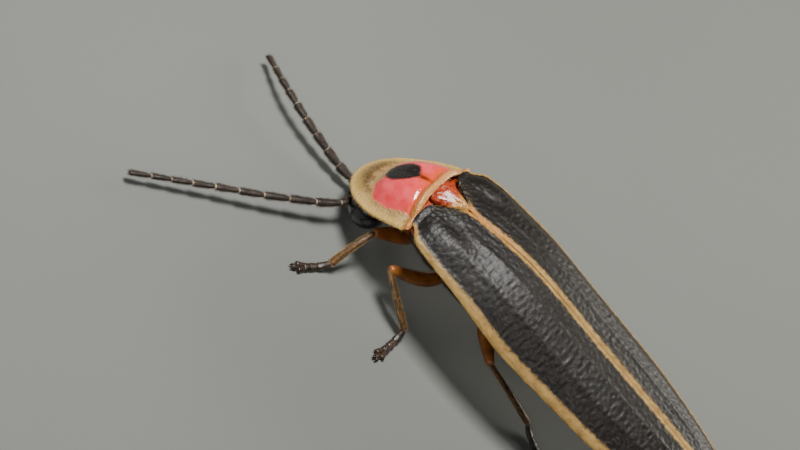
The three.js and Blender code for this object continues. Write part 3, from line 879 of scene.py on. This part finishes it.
belly_half_width = profile((2.9, 1.55), (5, 1.55), (7.5, 1.38), (9, 1.05), (10.3, 0.55))
belly_half_height = profile((2.9, 0.62), (5, 0.62), (7.5, 0.52), (9, 0.42), (10.3, 0.26))
belly_middle = profile((2.9, 2.08), (5, 2.05), (7.5, 1.95), (9, 1.98), (10.3, 2.02))
BELLY_RINGS = (
    ("abdomen_2", 1.05, DARK_BODY, "dark_body"),
    ("abdomen_3", 1.05, DARK_BODY, "dark_body"),
    ("abdomen_4", 1.05, DARK_BODY, "dark_body"),
    ("abdomen_5", 1.05, DARK_BODY, "dark_body"),
    ("lantern_6", 1.15, LANTERN, "lantern"),
    ("lantern_7", 1.2, LANTERN, "lantern"),
    ("abdomen_tip", 0.8, ORANGE_BODY, "orange_body"),
)
RING_TUCK = 0.14
RING_GAP = 0.02
RING_HAIRS = {"count": 900, "length": 0.16, "lift": 0.4, "width": 0.009}
THORAX_HAIRS = {"count": 1600, "length": 0.15, "lift": 0.4, "width": 0.009}
ring_front = 2.9
for number, (node, pitch, finish, slot_name) in enumerate(BELLY_RINGS):
    front, back = ring_front - RING_TUCK, ring_front + pitch - RING_GAP
    ring = barrel(f"ring_{node}", front, back, belly_section, 64, 22, 6)
    dressed(ring, finish, slot_name, node)
    hairs = coat(f"ring_down_{node}", ring, toward_tail, SEEDS["belly"] + number, **RING_HAIRS)
    dressed(hairs, PALE_DOWN if "lantern" in node else DARK_DOWN, slot_name)
    ring_front += pitch


def tapering(front, back):
    """A section whose half width, half height and middle run evenly from front to back."""

    def section(y, swing, turns):
        return tuple(mix(a, b, swing) for a, b in zip(front, back))

    return section


front_section = tapering((0.66, 0.46, 1.6), (1.08, 0.6, 1.98))
front_thorax = barrel("front_thorax", -1.2, -0.12, front_section, 56, 22, 4)
dressed(front_thorax, ORANGE_BODY, "orange_body", "prothorax")
middle_section = tapering((1.22, 0.46, 1.98), (1.47, 0.54, 1.88))
middle_thorax = barrel("middle_thorax", -0.5, 0.95, middle_section, 64, 22, 5)
dressed(middle_thorax, DARK_BODY, "dark_body", "mesothorax")
rear_section = tapering((1.46, 0.57, 1.92), (1.57, 0.67, 2.08))
rear_thorax = barrel("rear_thorax", 0.9, 2.86, rear_section, 64, 26, 5)
dressed(rear_thorax, DARK_BODY, "dark_body", "metathorax")
for number, skin in enumerate((middle_thorax, rear_thorax)):
    hairs = coat(f"thorax_down_{number}", skin, toward_tail, SEEDS["thorax"] + number, **THORAX_HAIRS)
    dressed(hairs, DARK_DOWN, "dark_body")


def scutellum_place(turns, reach):
    swing = (1 - np.cos(math.pi * reach)) / 2
    y = mix(-0.8, 0.3, swing)
    half_width = mix(0.68, 0.16, swing ** 0.8) * fullness(swing, 3)
    half_height = 0.2 * fullness(swing, 4)
    keel = 0.05 * bell(np.cos(turns), 0.25) * (np.sin(turns) > 0)
    return half_width * np.cos(turns), y, mix(2.78, 2.98, swing) + half_height * np.sin(turns) + keel


def plate_material():
    """Red and glossy in front, straw-coloured at the rear point, with wrinkles that break the shine."""
    material, tree, shader = new_material("triangle_finish", roughness=0.28, coat=0.25, coat_roughness=0.08)
    apart = tree.nodes.new("ShaderNodeSeparateXYZ")
    tree.links.new(place_in_mm(tree), apart.inputs["Vector"])
    rear = grey(tree, apart.outputs["Y"], -0.32, 0.0)
    red = ramp(tree, noise(tree, 0.2, 4), (0.3, (0.18, 0.011, 0.003)), (0.7, (0.42, 0.05, 0.01)))
    tree.links.new(blend_colours(tree, rear, red, (0.46, 0.22, 0.05)), shader.inputs["Base Color"])
    wrinkles = reckon(tree, "ADD", cells(tree, 0.16, "SMOOTH_F1"), noise(tree, 0.12, 3))
    bump(tree, shader, wrinkles, 0.07, 0.9)
    return material


scutellum = moulded("little_triangle", 56, 28, scutellum_place)
dressed(scutellum, plate_material(), "red_plate", "scutellum")
collar_section = tapering((1.2, 0.36, 2.34), (1.62, 0.48, 2.34))
collar = barrel("neck_collar", -0.9, 0.1, collar_section, 72, 18, 4)
dressed(collar, RED_PLATE, "orange_body")
print("body done")

# %% [markdown]
# ## Head
# Small and dark under the shield, almost hidden between two great round eyes. The eyes are
# spheres with thousands of facets, so they get a honeycomb of bumps and a hard gloss.

# %% Head and eyes


def eye_material():
    material, tree, shader = new_material("eye_finish", roughness=0.12, coat=0.8, coat_roughness=0.06)
    tone = ramp(tree, noise(tree, 0.3, 2), (0.3, (0.004, 0.004, 0.005)), (0.7, (0.012, 0.01, 0.011)))
    tree.links.new(tone, shader.inputs["Base Color"])
    bump(tree, shader, cells(tree, 0.028), 0.006, 0.6)
    return material


EYE_FINISH = eye_material()
MOUTH_BROWN = shell_material("mouth_finish", (0.1, 0.035, 0.012), (0.26, 0.1, 0.035), 0.35)


def head_place(turns, reach):
    ring = np.sin(math.pi * reach) ** 0.9
    y = -1.48 - 0.66 * np.cos(math.pi * reach)
    pinch = 1 - 0.18 * bell(y + 2.0, 0.2)
    furrow = 0.06 * bell(np.cos(turns), 0.22) * bell(y + 1.9, 0.3) * (np.sin(turns) > 0)
    x = 0.52 * ring * np.cos(turns) * pinch
    return x, y, 0.92 - 0.12 * soft((-1.6 - y) / 0.6) + (0.56 * ring * np.sin(turns)) - furrow


def down_the_face(points):
    return np.tile([0.0, -1.0, -0.4], (len(points), 1))


head = moulded("head_skin", 64, 44, head_place)
brow = ellipsoid("brow", (0, -1.98, 0.66), (0.3, 0.26, 0.26), 40, 26)
head = joined("head_skin", [head, brow])
dressed(head, DARK_BODY, "dark_body", "head")
HEAD_HAIRS = {"count": 1400, "length": 0.1, "lift": 0.6, "width": 0.008}
head_hairs = coat("head_down", head, down_the_face, SEEDS["head"], **HEAD_HAIRS)
dressed(head_hairs, PALE_DOWN, "dark_body")

for side_name, side in (("left", 1), ("right", -1)):
    eye = ellipsoid(f"eye_ball_{side_name}", (0.72 * side, -1.66, 0.9), (0.56, 0.58, 0.56), 96, 64)
    dressed(eye, EYE_FINISH, "eye", f"eye_{side_name}")
    rim = ellipsoid(f"eye_rim_{side_name}", (0.42 * side, -1.65, 0.9), (0.14, 0.55, 0.53), 64, 30)
    dressed(rim, DARK_BODY, "dark_body")
print("head done")

# %% [markdown]
# ## Limbs
# Every length of leg or feeler is made the same way by hand. A disc is added, and its face is
# extruded up and resized, station by station, into a straight master of length 1. It is closed,
# smoothed with a subdivision, and then copied, each copy bent along its own path.

# %% Limb masters


def straight_master(name, stations, sides=12):
    """A closed straight form along +Z from stations (height, half width, half depth)."""
    deselect_all()
    height, width, depth = stations[0]
    bpy.ops.mesh.primitive_circle_add(vertices=sides, radius=1, fill_type="NGON", location=(0, 0, height))
    piece = bpy.context.object
    piece.name = piece.data.name = name
    bpy.ops.object.mode_set(mode="EDIT")
    bpy.ops.mesh.select_all(action="SELECT")
    bpy.ops.transform.resize(value=(width, depth, 1), center_override=(0, 0, height))
    for next_height, next_width, next_depth in stations[1:]:
        bpy.ops.mesh.extrude_region_move(
            TRANSFORM_OT_translate={"value": (0, 0, next_height - height)}
        )
        bpy.ops.transform.resize(
            value=(next_width / width, next_depth / depth, 1), center_override=(0, 0, next_height)
        )
        height, width, depth = next_height, next_width, next_depth
    bpy.ops.mesh.select_all(action="SELECT")
    bpy.ops.mesh.normals_make_consistent(inside=False)
    bpy.ops.object.mode_set(mode="OBJECT")
    smoothing = piece.modifiers.new("smoothing", "SUBSURF")
    smoothing.levels = smoothing.render_levels = 2
    bpy.ops.object.modifier_apply(modifier=smoothing.name)
    bpy.ops.object.transform_apply(location=True, rotation=True, scale=True)
    bpy.ops.object.shade_smooth()
    while piece.data.uv_layers:
        piece.data.uv_layers.remove(piece.data.uv_layers[0])
    return piece


def bent_path(points):
    """A smooth path through a few points: gives places and directions for numbers from 0 to 1."""
    points = np.asarray(points, dtype=float)
    if len(points) == 2:
        points = np.stack([points[0], points.mean(axis=0), points[1]])
    lengths = np.concatenate([[0], np.cumsum(np.linalg.norm(np.diff(points, axis=0), axis=1))])
    lengths /= lengths[-1]
    axes = [profile(*zip(lengths, points[:, k])) for k in range(3)]

    def at(place):
        centre = np.stack([axis(place) for axis in axes], axis=1)
        step = 0.01
        low = np.clip(place - step, 0, 1 - step)
        high = np.clip(place + step, step, 1)
        ahead = np.stack([axis(high) - axis(low) for axis in axes], axis=1)
        ahead /= np.linalg.norm(ahead, axis=1)[:, None]
        beyond = np.maximum(place - 1, 0) + np.minimum(place, 0)
        whole = np.linalg.norm(np.diff(points, axis=0), axis=1).sum()
        return centre + ahead * (beyond * whole)[:, None], ahead

    return at


def laid(name, master, points, width, depth=None, start=0.0, end=1.0):
    """A copy of a straight master, bent along a path from start to end of it, in millimetres."""
    mesh = master.data.copy()
    piece = bpy.data.objects.new(name, mesh)
    bpy.context.scene.collection.objects.link(piece)
    flat = np.empty(len(mesh.vertices) * 3)
    mesh.vertices.foreach_get("co", flat)
    local = flat.reshape(-1, 3)
    centre, ahead = bent_path(points)(mix(start, end, local[:, 2]))
    across = np.cross(ahead, [0.0, 0.0, 1.0])
    across /= np.maximum(np.linalg.norm(across, axis=1), 1e-9)[:, None]
    over = np.cross(across, ahead)
    depth = width if depth is None else depth
    set_points(piece, centre + across * (local[:, :1] * width) + over * (local[:, 1:2] * depth))
    recalculate_faces(piece)
    return piece


HIP = straight_master("hip_master", (
    (0, 0.7, 0.7), (0.06, 1.05, 1.05), (0.3, 1.15, 1.12),
    (0.6, 0.95, 0.92), (0.85, 0.72, 0.7), (1, 0.5, 0.5),
))
THIGH = straight_master("thigh_master", (
    (0, 0.45, 0.45), (0.04, 0.68, 0.65), (0.2, 1, 0.92), (0.45, 1.18, 1.02),
    (0.7, 1, 0.88), (0.9, 0.76, 0.7), (0.98, 0.7, 0.66), (1.02, 0.42, 0.42),
))
SHIN = straight_master("shin_master", (
    (-0.02, 0.4, 0.4), (0.02, 0.78, 0.7), (0.12, 0.72, 0.62), (0.35, 0.9, 0.72),
    (0.65, 1, 0.78), (0.92, 1.12, 0.86), (0.99, 1.05, 0.8), (1.01, 0.6, 0.5),
))
TOE = straight_master("toe_master", (
    (0, 0.6, 0.6), (0.06, 0.78, 0.74), (0.4, 0.92, 0.84),
    (0.8, 1.08, 0.88), (0.96, 1.08, 0.82), (1, 0.75, 0.65),
))
CLAW = straight_master("claw_master", (
    (0, 0.8, 0.9), (0.15, 1, 1), (0.45, 0.75, 0.7), (0.75, 0.42, 0.4), (1, 0.08, 0.08),
), sides=8)
FEELER = straight_master("feeler_master", (
    (0, 0.6, 0.6), (0.03, 0.76, 0.7), (0.2, 0.86, 0.78), (0.55, 1, 0.85),
    (0.85, 1.1, 0.9), (0.97, 1.06, 0.84), (1, 0.7, 0.64),
))
RING = straight_master("feeler_ring_master", (
    (0, 0.7, 0.7), (0.2, 0.98, 0.94), (0.8, 1, 0.95), (1, 0.7, 0.7),
))
print("limb masters ready")

# %% [markdown]
# Hips and thighs are orange-brown and glossy, shins dark brown, feet and feelers nearly black,
# and the rings between the feelers' segments pale. Each finish mixes two tones by a soft noise.

# %% Limb finishes
THIGH_FINISH = shell_material(
    "thigh_finish", (0.2, 0.055, 0.01), (0.42, 0.14, 0.025),
    roughness=0.3, coat=0.35, see_through=0.08,
)
SHIN_FINISH = shell_material(
    "shin_finish", (0.018, 0.009, 0.004), (0.13, 0.055, 0.016), roughness=0.34, coat=0.3,
)
FOOT_FINISH = shell_material(
    "foot_finish", (0.009, 0.006, 0.004), (0.04, 0.02, 0.009), roughness=0.4, coat=0.2,
)
FEELER_FINISH = shell_material(
    "feeler_finish", (0.008, 0.006, 0.005), (0.034, 0.022, 0.015),
    roughness=0.5, coat=0.0, grain=0.025,
)
RING_FINISH = shell_material(
    "feeler_ring_finish", (0.22, 0.16, 0.1), (0.4, 0.31, 0.2), roughness=0.5, coat=0.0,
)

# %% [markdown]
# ## Feelers
# Eleven segments each: a stout first one, a short second, and nine longer ones that thin toward
# the tip, each a little wider at its far end and joined to the next by a pale ring. They are
# laid one by one along the same gentle path that the solid feeler follows.

# %% Feelers
FEELERS = {
    "left": {
        "path": (
            (0.2, -1.98, 0.92), (0.5, -2.28, 0.84), (1.12, -2.25, 0.8), (2.55, -3.52, 0.62),
            (4.05, -5.08, 0.46), (5.78, -6.83, 0.34),
        ),
        "lengths": (0.8, 0.42, 0.82, 0.82, 0.8, 0.78, 0.74, 0.7, 0.66, 0.62, 0.7),
        "half_widths": (0.115, 0.075),
    },
    "right": {
        "path": (
            (-0.2, -1.98, 0.88), (-0.2, -2.3, 0.64), (-0.04, -2.68, 0.42), (-0.06, -4.2, 0.6),
            (-0.36, -5.6, 0.66), (-1.0, -6.84, 0.38),
        ),
        "lengths": (0.7, 0.34, 0.62, 0.66, 0.64, 0.62, 0.6, 0.56, 0.52, 0.5, 0.56),
        "half_widths": (0.15, 0.085),
    },
}


LAST_SEGMENT = 10
RING_START = 0.008
RING_END = 0.001
FEELER_HAIRS = {"count": 5200, "length": 0.075, "lift": 0.75, "width": 0.0075}


def along_path(path):
    """Hairs lie from a path's first point toward its last."""
    outward = np.array(path[-1]) - np.array(path[0])
    return lambda points: np.tile(outward / np.linalg.norm(outward), (len(points), 1))


for number, (side_name, feeler) in enumerate(FEELERS.items()):
    path = feeler["path"]
    whole = sum(feeler["lengths"])
    at = 0.0
    segments, rings = [], []
    for count, length in enumerate(feeler["lengths"]):
        width = mix(*feeler["half_widths"], (count / LAST_SEGMENT) ** 1.2) * (0.85 if count == 1 else 1)
        until = at + length / whole
        segment_name = f"segment_{side_name}_{count}"
        segments.append(laid(segment_name, FEELER, path, width, width * 0.9, at, until - 0.006))
        if count < LAST_SEGMENT:
            rings.append(laid(
                f"ring_{side_name}_{count}", RING, path,
                width * 0.84, width * 0.76, until - RING_START, until + RING_END,
            ))
        at = until
    base = joined(f"feeler_base_{side_name}", segments[:1])
    rest = joined(f"feeler_{side_name}", segments[1:])
    dressed(base, FEELER_FINISH, "black_limb", f"antenna_base_{side_name}")
    dressed(rest, FEELER_FINISH, "black_limb", f"antenna_{side_name}")
    dressed(joined(f"feeler_rings_{side_name}", rings), RING_FINISH, "black_limb")
    lie = along_path(path[1:])
    hairs = coat(f"feeler_down_{side_name}", rest, lie, SEEDS["feelers"] + number, **FEELER_HAIRS)
    dressed(hairs, DARK_DOWN, "black_limb")
print("feelers done")

# %% [markdown]
# ## Legs
# Six legs, each with a hip, thigh, shin, five-jointed foot and two claws. The fourth joint of
# each foot is split into two broad lobes. The joints' places are those of the solid legs. The
# last two points of a foot are given without a height, which is that of its toes.

# %% Legs
FOOT_HEIGHT = 0.078
LEGS = {
    "front_left": {
        "hip": ((0.34, -0.75, 1.42), (0.44, -0.2, 1)),
        "thigh": ((0.44, -0.2, 1), (0.98, -0.7, 1.16), (1.47, -1.05, 1.23)),
        "shin": ((1.47, -1.05, 1.23), (2.05, -1.18, 0.84), (2.6, -1.26, 0.3)),
        "foot": ((2.6, -1.26, 0.3), (2.84, -1.42, 0.14), (3.3, -1.74), (3.5, -1.9)),
    },
    "mid_left": {
        "hip": ((0.36, 0.6, 1.5), (0.44, 1.25, 1.02)),
        "thigh": ((0.44, 1.25, 1.02), (1.1, 0.82, 1.0), (1.9, -0.02, 1.15)),
        "shin": ((1.9, -0.02, 1.15), (2.14, 0.7, 0.8), (2.28, 1.49, 0.3)),
        "foot": ((2.28, 1.49, 0.3), (2.55, 1.53, 0.13), (3.1, 1.53), (3.56, 1.5)),
    },
    "hind_left": {
        "hip": ((0.3, 2.2, 1.5), (0.56, 2.75, 1.06)),
        "thigh": ((0.56, 2.75, 1.06), (1.05, 3.35, 1.08), (1.56, 3.84, 1.14)),
        "shin": ((1.56, 3.84, 1.14), (1.48, 4.8, 0.82), (1.27, 5.8, 0.3)),
        "foot": ((1.27, 5.8, 0.3), (1.36, 6.04, 0.14), (1.6, 6.6), (1.76, 7.0)),
    },
    "front_right": {
        "hip": ((-0.34, -0.75, 1.42), (-0.44, -0.2, 1)),
        "thigh": ((-0.44, -0.2, 1), (-0.98, -0.5, 1.16), (-1.5, -0.72, 1.23)),
        "shin": ((-1.5, -0.72, 1.23), (-1.88, -0.7, 0.84), (-2.2, -0.66, 0.3)),
        "foot": ((-2.2, -0.66, 0.3), (-2.4, -0.76, 0.13), (-2.72, -0.95), (-2.96, -1.08)),
    },
    "mid_right": {
        "hip": ((-0.36, 0.6, 1.5), (-0.44, 1.25, 1.02)),
        "thigh": ((-0.44, 1.25, 1.02), (-1.12, 0.9, 1.0), (-1.86, 0.18, 1.15)),
        "shin": ((-1.86, 0.18, 1.15), (-2.06, 0.9, 0.8), (-2.18, 1.72, 0.3)),
        "foot": ((-2.18, 1.72, 0.3), (-2.42, 1.79, 0.13), (-2.95, 1.93), (-3.34, 2.02)),
    },
    "hind_right": {
        "hip": ((-0.3, 2.2, 1.5), (-0.56, 2.75, 1.06)),
        "thigh": ((-0.56, 2.75, 1.06), (-1.08, 3.25, 1.08), (-1.62, 3.68, 1.14)),
        "shin": ((-1.62, 3.68, 1.14), (-1.66, 4.6, 0.82), (-1.6, 5.52, 0.3)),
        "foot": ((-1.6, 5.52, 0.3), (-1.72, 5.78, 0.14), (-1.98, 6.28), (-2.16, 6.64)),
    },
}
HIP_WIDTH = 0.27
THIGH_WIDTH = 0.21
SHIN_WIDTH = 0.112
TOE_LENGTHS = (0.32, 0.2, 0.17, 0.17, 0.14)
TOE_WIDTHS = (0.98, 1.05, 1.14, 1.3, 0.85)
SPLIT_TOE = 3
TOE_FLATNESS = 0.7
TOE_OVERLAP = 0.03
LOBE_WIDTH = 0.62
LOBE_DEPTH = 0.6
LOBE_STRETCH = 1.3
CLAW_WIDTH = 0.036
LEG_HAIRS = {
    "thigh": {"count": 420, "length": 0.07, "lift": 0.6, "width": 0.007},
    "shin": {"count": 620, "length": 0.08, "lift": 0.6, "width": 0.007},
    "foot": {"count": 700, "length": 0.045, "lift": 0.6, "width": 0.007},
}


def at_toe_height(path):
    return [(*point, FOOT_HEIGHT)[:3] for point in path]


def foot_pieces(leg_name, path):
    """Five toe joints, the fourth of them two lobes, and a pair of hooked claws."""
    pieces = []
    at = 0.0
    for count, length in enumerate(TOE_LENGTHS):
        width = SHIN_WIDTH * TOE_WIDTHS[count]
        name = f"toe_{leg_name}_{count}"
        if count == SPLIT_TOE:
            for hand in (-1, 1):
                lobe = laid(
                    f"{name}_{hand}", TOE, path,
                    width * LOBE_WIDTH, width * LOBE_DEPTH, at, at + length * LOBE_STRETCH,
                )
                pieces.append(spread_sideways(lobe, path, hand, at, width))
        else:
            until = at + length + TOE_OVERLAP
            pieces.append(laid(name, TOE, path, width, width * TOE_FLATNESS, at, until))
        at += length
    end, before = np.array(path[-1]), np.array(path[-2])
    ahead = (end - before) * [1, 1, 0]
    ahead /= np.linalg.norm(ahead)
    side = np.array([-ahead[1], ahead[0], 0])
    for hand in (-1, 1):
        claw_path = (
            end + side * hand * 0.03 + [0, 0, 0.02],
            end + ahead * 0.07 + side * hand * 0.05 + [0, 0, 0.04],
            end + ahead * 0.12 + side * hand * 0.06 + [0, 0, -0.04],
        )
        pieces.append(laid(f"claw_{leg_name}_{hand}", CLAW, claw_path, CLAW_WIDTH))
    return pieces


def spread_sideways(lobe, path, hand, at, width):
    flat = np.empty(len(lobe.data.vertices) * 3)
    lobe.data.vertices.foreach_get("co", flat)
    points = (flat.reshape(-1, 3) - SEAM) / MM
    start, ahead = bent_path(path)(np.array([at]))
    side = np.cross(ahead[0], [0, 0, 1.0])
    far = ((points - start[0]) @ ahead[0])[:, None]
    set_points(lobe, points + side * hand * (0.03 + 0.14 * np.clip(far, 0, 1)) * width / 0.1)
    return lobe


for number, (leg_name, leg) in enumerate(LEGS.items()):
    foot_path = at_toe_height(leg["foot"])
    hip = laid(f"hip_{leg_name}", HIP, leg["hip"], HIP_WIDTH)
    thigh = laid(f"thigh_{leg_name}", THIGH, leg["thigh"], THIGH_WIDTH)
    shin = laid(f"shin_{leg_name}", SHIN, leg["shin"], SHIN_WIDTH)
    foot = joined(f"foot_{leg_name}", foot_pieces(leg_name, foot_path))
    dressed(hip, THIGH_FINISH, "orange_limb", f"coxa_{leg_name}")
    dressed(thigh, THIGH_FINISH, "orange_limb", f"femur_{leg_name}")
    dressed(shin, SHIN_FINISH, "brown_limb", f"tibia_{leg_name}")
    dressed(foot, FOOT_FINISH, "black_limb", f"tarsus_{leg_name}")
    for part, (part_name, skin, path, finish, slot_name) in enumerate((
        ("thigh", thigh, leg["thigh"], PALE_DOWN, "orange_limb"),
        ("shin", shin, leg["shin"], PALE_DOWN, "brown_limb"),
        ("foot", foot, foot_path, DARK_DOWN, "black_limb"),
    )):
        seed = SEEDS["legs"] + 10 * number + part
        hairs = coat(f"{skin.name}_down", skin, along_path(path), seed, **LEG_HAIRS[part_name])
        dressed(hairs, finish, slot_name)
print("legs done")

# %% [markdown]
# ## Mouth
# Two slender hooked jaws and two palps hang below the brow. They use the same straight masters,
# bent and thinned.

# %% Jaws and palps
JAW_PATH = ((0.12, -2.0, 0.6), (0.24, -2.32, 0.46), (0.06, -2.52, 0.38))
PALP_PATH = ((0.24, -1.72, 0.46), (0.42, -1.88, 0.27), (0.46, -2.06, 0.17))
for side_name, side in (("left", 1), ("right", -1)):
    jaw_path = [(x * side, y, z) for x, y, z in JAW_PATH]
    jaw = laid(f"jaw_{side_name}", CLAW, jaw_path, 0.085)
    dressed(jaw, MOUTH_BROWN, "brown_limb", f"mandible_{side_name}")
    palp_path = [(x * side, y, z) for x, y, z in PALP_PATH]
    segments = [
        laid(f"palp_{side_name}_{k}", FEELER, palp_path, 0.075 + 0.012 * k, None, k / 3, (k + 1) / 3)
        for k in range(3)
    ]
    dressed(joined(f"palp_skin_{side_name}", segments), MOUTH_BROWN, "brown_limb", f"palp_{side_name}")
for master in (HIP, THIGH, SHIN, TOE, CLAW, FEELER, RING):
    bpy.data.objects.remove(master)
print("mouth done")

# %% [markdown]
# ## Floor and light
# A plain grey floor and three soft lights: a broad one above and to the left, as in a studio, a
# weaker one from the right, and a low one from behind that catches the down.

# %% Floor and lights
deselect_all()
bpy.ops.mesh.primitive_grid_add(x_subdivisions=4, y_subdivisions=4, size=1.6)
floor = bpy.context.object
floor.name = "floor"
floor_material, floor_tree, floor_shader = new_material("floor_finish", roughness=0.75)
floor_tone = ramp(
    floor_tree, noise(floor_tree, 30.0),
    (0.3, (0.13, 0.137, 0.125)), (0.7, (0.145, 0.152, 0.14)),
)
floor_tree.links.new(floor_tone, floor_shader.inputs["Base Color"])
floor.data.materials.append(floor_material)


def softbox(name, place, size, power, colour):
    light = bpy.data.lights.new(name, "AREA")
    light.shape = "RECTANGLE"
    light.size, light.size_y = (s * MM for s in size)
    light.energy = power
    light.color = colour
    lamp = bpy.data.objects.new(name, light)
    lamp.location = metres(place)
    aim_at = Vector(metres((0, 3, 1.5)))
    lamp.rotation_euler = (aim_at - lamp.location).to_track_quat("-Z", "Y").to_euler()
    bpy.context.scene.collection.objects.link(lamp)


softbox("key", (-2, -16, 64), (17, 17), 0.082, (1.0, 0.98, 0.95))
softbox("fill", (60, -10, 45), (50, 50), 0.012, (0.95, 0.98, 1.0))
softbox("back", (-50, 30, 22), (40, 20), 0.03, (1.0, 0.96, 0.88))
world = bpy.data.worlds.new("studio")
world.use_nodes = True
world.node_tree.nodes["Background"].inputs["Color"].default_value = (0.8, 0.86, 0.92, 1)
world.node_tree.nodes["Background"].inputs["Strength"].default_value = 0.07
bpy.context.scene.world = world
